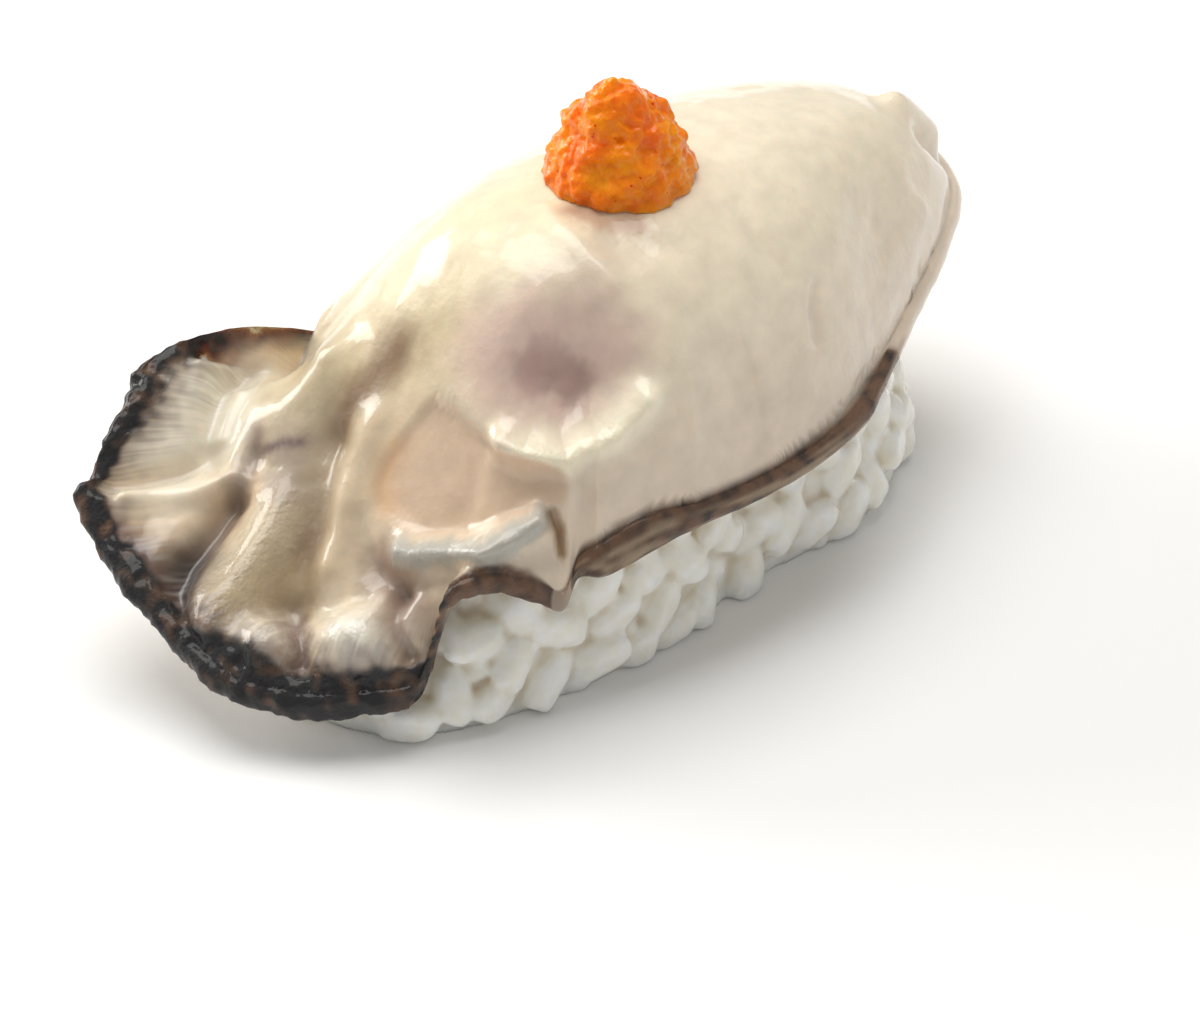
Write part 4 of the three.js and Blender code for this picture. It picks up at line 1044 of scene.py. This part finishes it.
class Finish:
    """A material under construction: one Principled surface and the nodes that feed it."""

    def __init__(self, name, **constants):
        self.material = bpy.data.materials.new(name)
        self.material.use_nodes = True
        self.tree = self.material.node_tree
        self.surface = self.tree.nodes["Principled BSDF"]
        for socket, value in constants.items():
            self.surface.inputs[socket.replace("_", " ")].default_value = value

    def node(self, kind, settings=None, sockets=None, out=0):
        made = self.tree.nodes.new(kind)
        for key, value in (settings or {}).items():
            setattr(made, key, value)
        for key, value in (sockets or {}).items():
            self.feed(made.inputs[key], value)
        return Wire(self, made.outputs[out])

    def feed(self, socket, value):
        if isinstance(value, Wire):
            self.tree.links.new(value.socket, socket)
        elif hasattr(socket.default_value, "__len__") and len(value) == 3 and len(socket.default_value) == 4:
            socket.default_value = (*value, 1.0)
        else:
            socket.default_value = value

    def noise(self, size, detail=3.0):
        """Noise between 0 and 1 over the object, with lumps of a size in millimetres."""
        place = self.node("ShaderNodeTexCoord", out="Object")
        place = self.node("ShaderNodeVectorMath", {"operation": "MULTIPLY"}, {0: place, 1: [1 / MM] * 3})
        sockets = {"Vector": place, "Scale": 1 / size, "Detail": detail}
        return self.node("ShaderNodeTexNoise", None, sockets, "Fac")

    def between(self, value, low, high, start=0.0, end=1.0):
        return self.node("ShaderNodeMapRange", {"clamp": True},
                         {"Value": value, "From Min": low, "From Max": high, "To Min": start, "To Max": end})

    def blend(self, mask, below, above, kind="MIX"):
        settings = {"data_type": "RGBA", "blend_type": kind}
        return self.node("ShaderNodeMix", settings, {0: mask, 6: below, 7: above}, 2)

    def bump(self, height, distance, strength=1.0):
        """Bump from a height between 0 and 1, worth `distance` millimetres."""
        return self.node("ShaderNodeBump", None,
                         {"Height": height, "Distance": distance * MM, "Strength": strength})

    def mark(self, name, out="Fac"):
        return self.node("ShaderNodeAttribute", {"attribute_name": name}, None, out)

    def dress(self, piece, **varying):
        for socket, value in varying.items():
            self.feed(self.surface.inputs[socket.replace("_", " ")], value)
        piece.data.materials.clear()
        piece.data.materials.append(self.material)


def dress_flesh(piece):
    flesh = Finish("wet oyster flesh", Coat_Roughness=0.05, Coat_IOR=1.33, Subsurface_Weight=0.3,
                   Subsurface_Scale=1.3 * MM, Subsurface_Radius=(1.0, 0.55, 0.35))
    painted = flesh.mark("paint", "Color")
    black = flesh.mark("black")
    mottle = flesh.between(flesh.noise(2.2, 4.0), 0.3, 0.7, 0.92, 1.05)
    mottle = flesh.node("ShaderNodeCombineColor", None, {0: mottle, 1: mottle, 2: mottle})
    colour = flesh.blend(1.0, painted, mottle, "MULTIPLY")
    grain = flesh.noise(0.8, 3.0) * (1.0 - black) + flesh.noise(0.34, 3.0) * black * 4.0
    grain = grain + flesh.noise(0.55, 2.0) * flesh.mark("wrinkled") * 3.0
    flesh.dress(piece, Base_Color=colour, Normal=flesh.bump(grain * (1.0 - flesh.mark("wet")), 0.06),
                Coat_Weight=flesh.between(black, 0, 1, 0.8, 0.7),
                Roughness=flesh.between(black, 0, 1, 0.36, 0.8))


def dress_rice(piece):
    rice = Finish("cooked rice", Roughness=0.3, Coat_Weight=0.7, Coat_Roughness=0.06, Coat_IOR=1.33,
                  Subsurface_Weight=0.9, Subsurface_Scale=3.0 * MM, Subsurface_Radius=(1.0, 0.92, 0.8))
    chalk = rice.between(rice.noise(1.8, 3.0), 0.35, 0.7)
    colour = rice.blend(chalk, (0.86, 0.83, 0.73), (0.94, 0.94, 0.91))
    # Painted shade: deeper in the gaps between the grains the rice is coloured a darker warm beige.
    gap = rice.between(rice.mark("gap"), 0.04, 0.3)
    colour = rice.blend(gap, colour, (0.76, 0.69, 0.56))
    rice.dress(piece, Base_Color=colour, Normal=rice.bump(rice.noise(0.9, 3.0), 0.12))


def dress_topping(piece):
    radish = Finish("grated chilli radish", Roughness=0.4, Specular_IOR_Level=0.1, Coat_Weight=0.8,
                    Coat_Roughness=0.03, Coat_IOR=1.33, Subsurface_Weight=0.6, Subsurface_Scale=1.4 * MM,
                    Subsurface_Radius=(1.0, 0.25, 0.02))
    tone = radish.between(radish.noise(3.0, 3.0), 0.34, 0.66)
    colour = radish.blend(tone, (0.90, 0.16, 0.0), (1.0, 0.32, 0.0))
    fleck = radish.between(radish.noise(0.6, 2.0), 0.68, 0.74)
    colour = radish.blend(fleck, colour, (0.62, 0.03, 0.0))
    radish.dress(piece, Base_Color=colour, Normal=radish.bump(radish.noise(0.4, 2.0), 0.18))


# ---- Camera, floor and light ----

VIEW_AZIMUTH = math.radians(-44)
VIEW_HEIGHT = math.radians(35)
VIEW_DISTANCE = 600.0
VIEW_TARGET = Vector((3.434, -1.123, 2.253))
VIEW_LENS = 216.0
VIEW_SENSOR = 36.0
VIEW_BACK = Vector((math.sin(VIEW_AZIMUTH) * math.cos(VIEW_HEIGHT),
                    -math.cos(VIEW_AZIMUTH) * math.cos(VIEW_HEIGHT),
                    math.sin(VIEW_HEIGHT)))
FLOOR_REACH = 6.0                 # metres
LIGHTS = {                        # place and size in millimetres, watts, colour
    "key": ((-168, 516, 258), (300, 260), 2.0, (1.0, 0.98, 0.94)),
    "top": ((40, 160, 700), (620, 520), 4.3, (1.0, 0.99, 0.97)),
    "front fill": ((330, -430, 120), (420, 300), 0.22, (1, 1, 1)),
}
LIT_MIDDLE = Vector((0, 0, 20))
SKY = (1.0, 0.99, 0.97, 1.0)
SKY_STRENGTH = 0.38


def make_camera():
    data = bpy.data.cameras.new("photo_view")
    data.lens, data.sensor_width, data.clip_start = VIEW_LENS, VIEW_SENSOR, 0.01
    camera = bpy.data.objects.new("photo_view", data)
    camera.location = (VIEW_TARGET + VIEW_BACK * VIEW_DISTANCE) * MM
    camera.rotation_euler = VIEW_BACK.to_track_quat("Z", "Y").to_euler()
    bpy.context.scene.collection.objects.link(camera)
    bpy.context.scene.camera = camera


def make_floor():
    mesh = bpy.data.meshes.new("floor")
    corners = [(x * FLOOR_REACH, y * FLOOR_REACH, 0) for x, y in ((-1, -1), (1, -1), (1, 1), (-1, 1))]
    mesh.from_pydata(corners, [], [(0, 1, 2, 3)])
    floor = bpy.data.objects.new("floor", mesh)
    bpy.context.scene.collection.objects.link(floor)
    pale = Finish("pale floor", Base_Color=(0.9, 0.9, 0.9, 1.0), Roughness=0.7)
    pale.surface.inputs["Specular IOR Level"].default_value = 0.1
    mesh.materials.append(pale.material)


def add_softbox(name, place, size, power, colour):
    """A soft rectangular light, aimed at the middle of the part."""
    data = bpy.data.lights.new(name, "AREA")
    data.shape = "RECTANGLE"
    data.size, data.size_y = (side * MM for side in size)
    data.energy, data.color = power, colour
    light = bpy.data.objects.new(name, data)
    light.location = Vector(place) * MM
    light.rotation_euler = (Vector(place) - LIT_MIDDLE).to_track_quat("Z", "Y").to_euler()
    bpy.context.scene.collection.objects.link(light)


def light_stage():
    scene = bpy.context.scene
    scene.view_settings.view_transform = "Standard"
    world = bpy.data.worlds.new("studio")
    world.use_nodes = True
    world.node_tree.nodes["Background"].inputs["Color"].default_value = SKY
    world.node_tree.nodes["Background"].inputs["Strength"].default_value = SKY_STRENGTH
    scene.world = world
    for name, setting in LIGHTS.items():
        add_softbox(name, *setting)


# ---- The part ----

make_camera()
flesh = make_oyster()
dress_flesh(flesh)
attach(flesh, "root")
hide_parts("oyster")

grains = make_rice()
dress_rice(grains)
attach(grains, "root")
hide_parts("rice")

mound = make_topping()
dress_topping(mound)
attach(mound, "root")
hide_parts("chilli_radish")

make_floor()
light_stage()
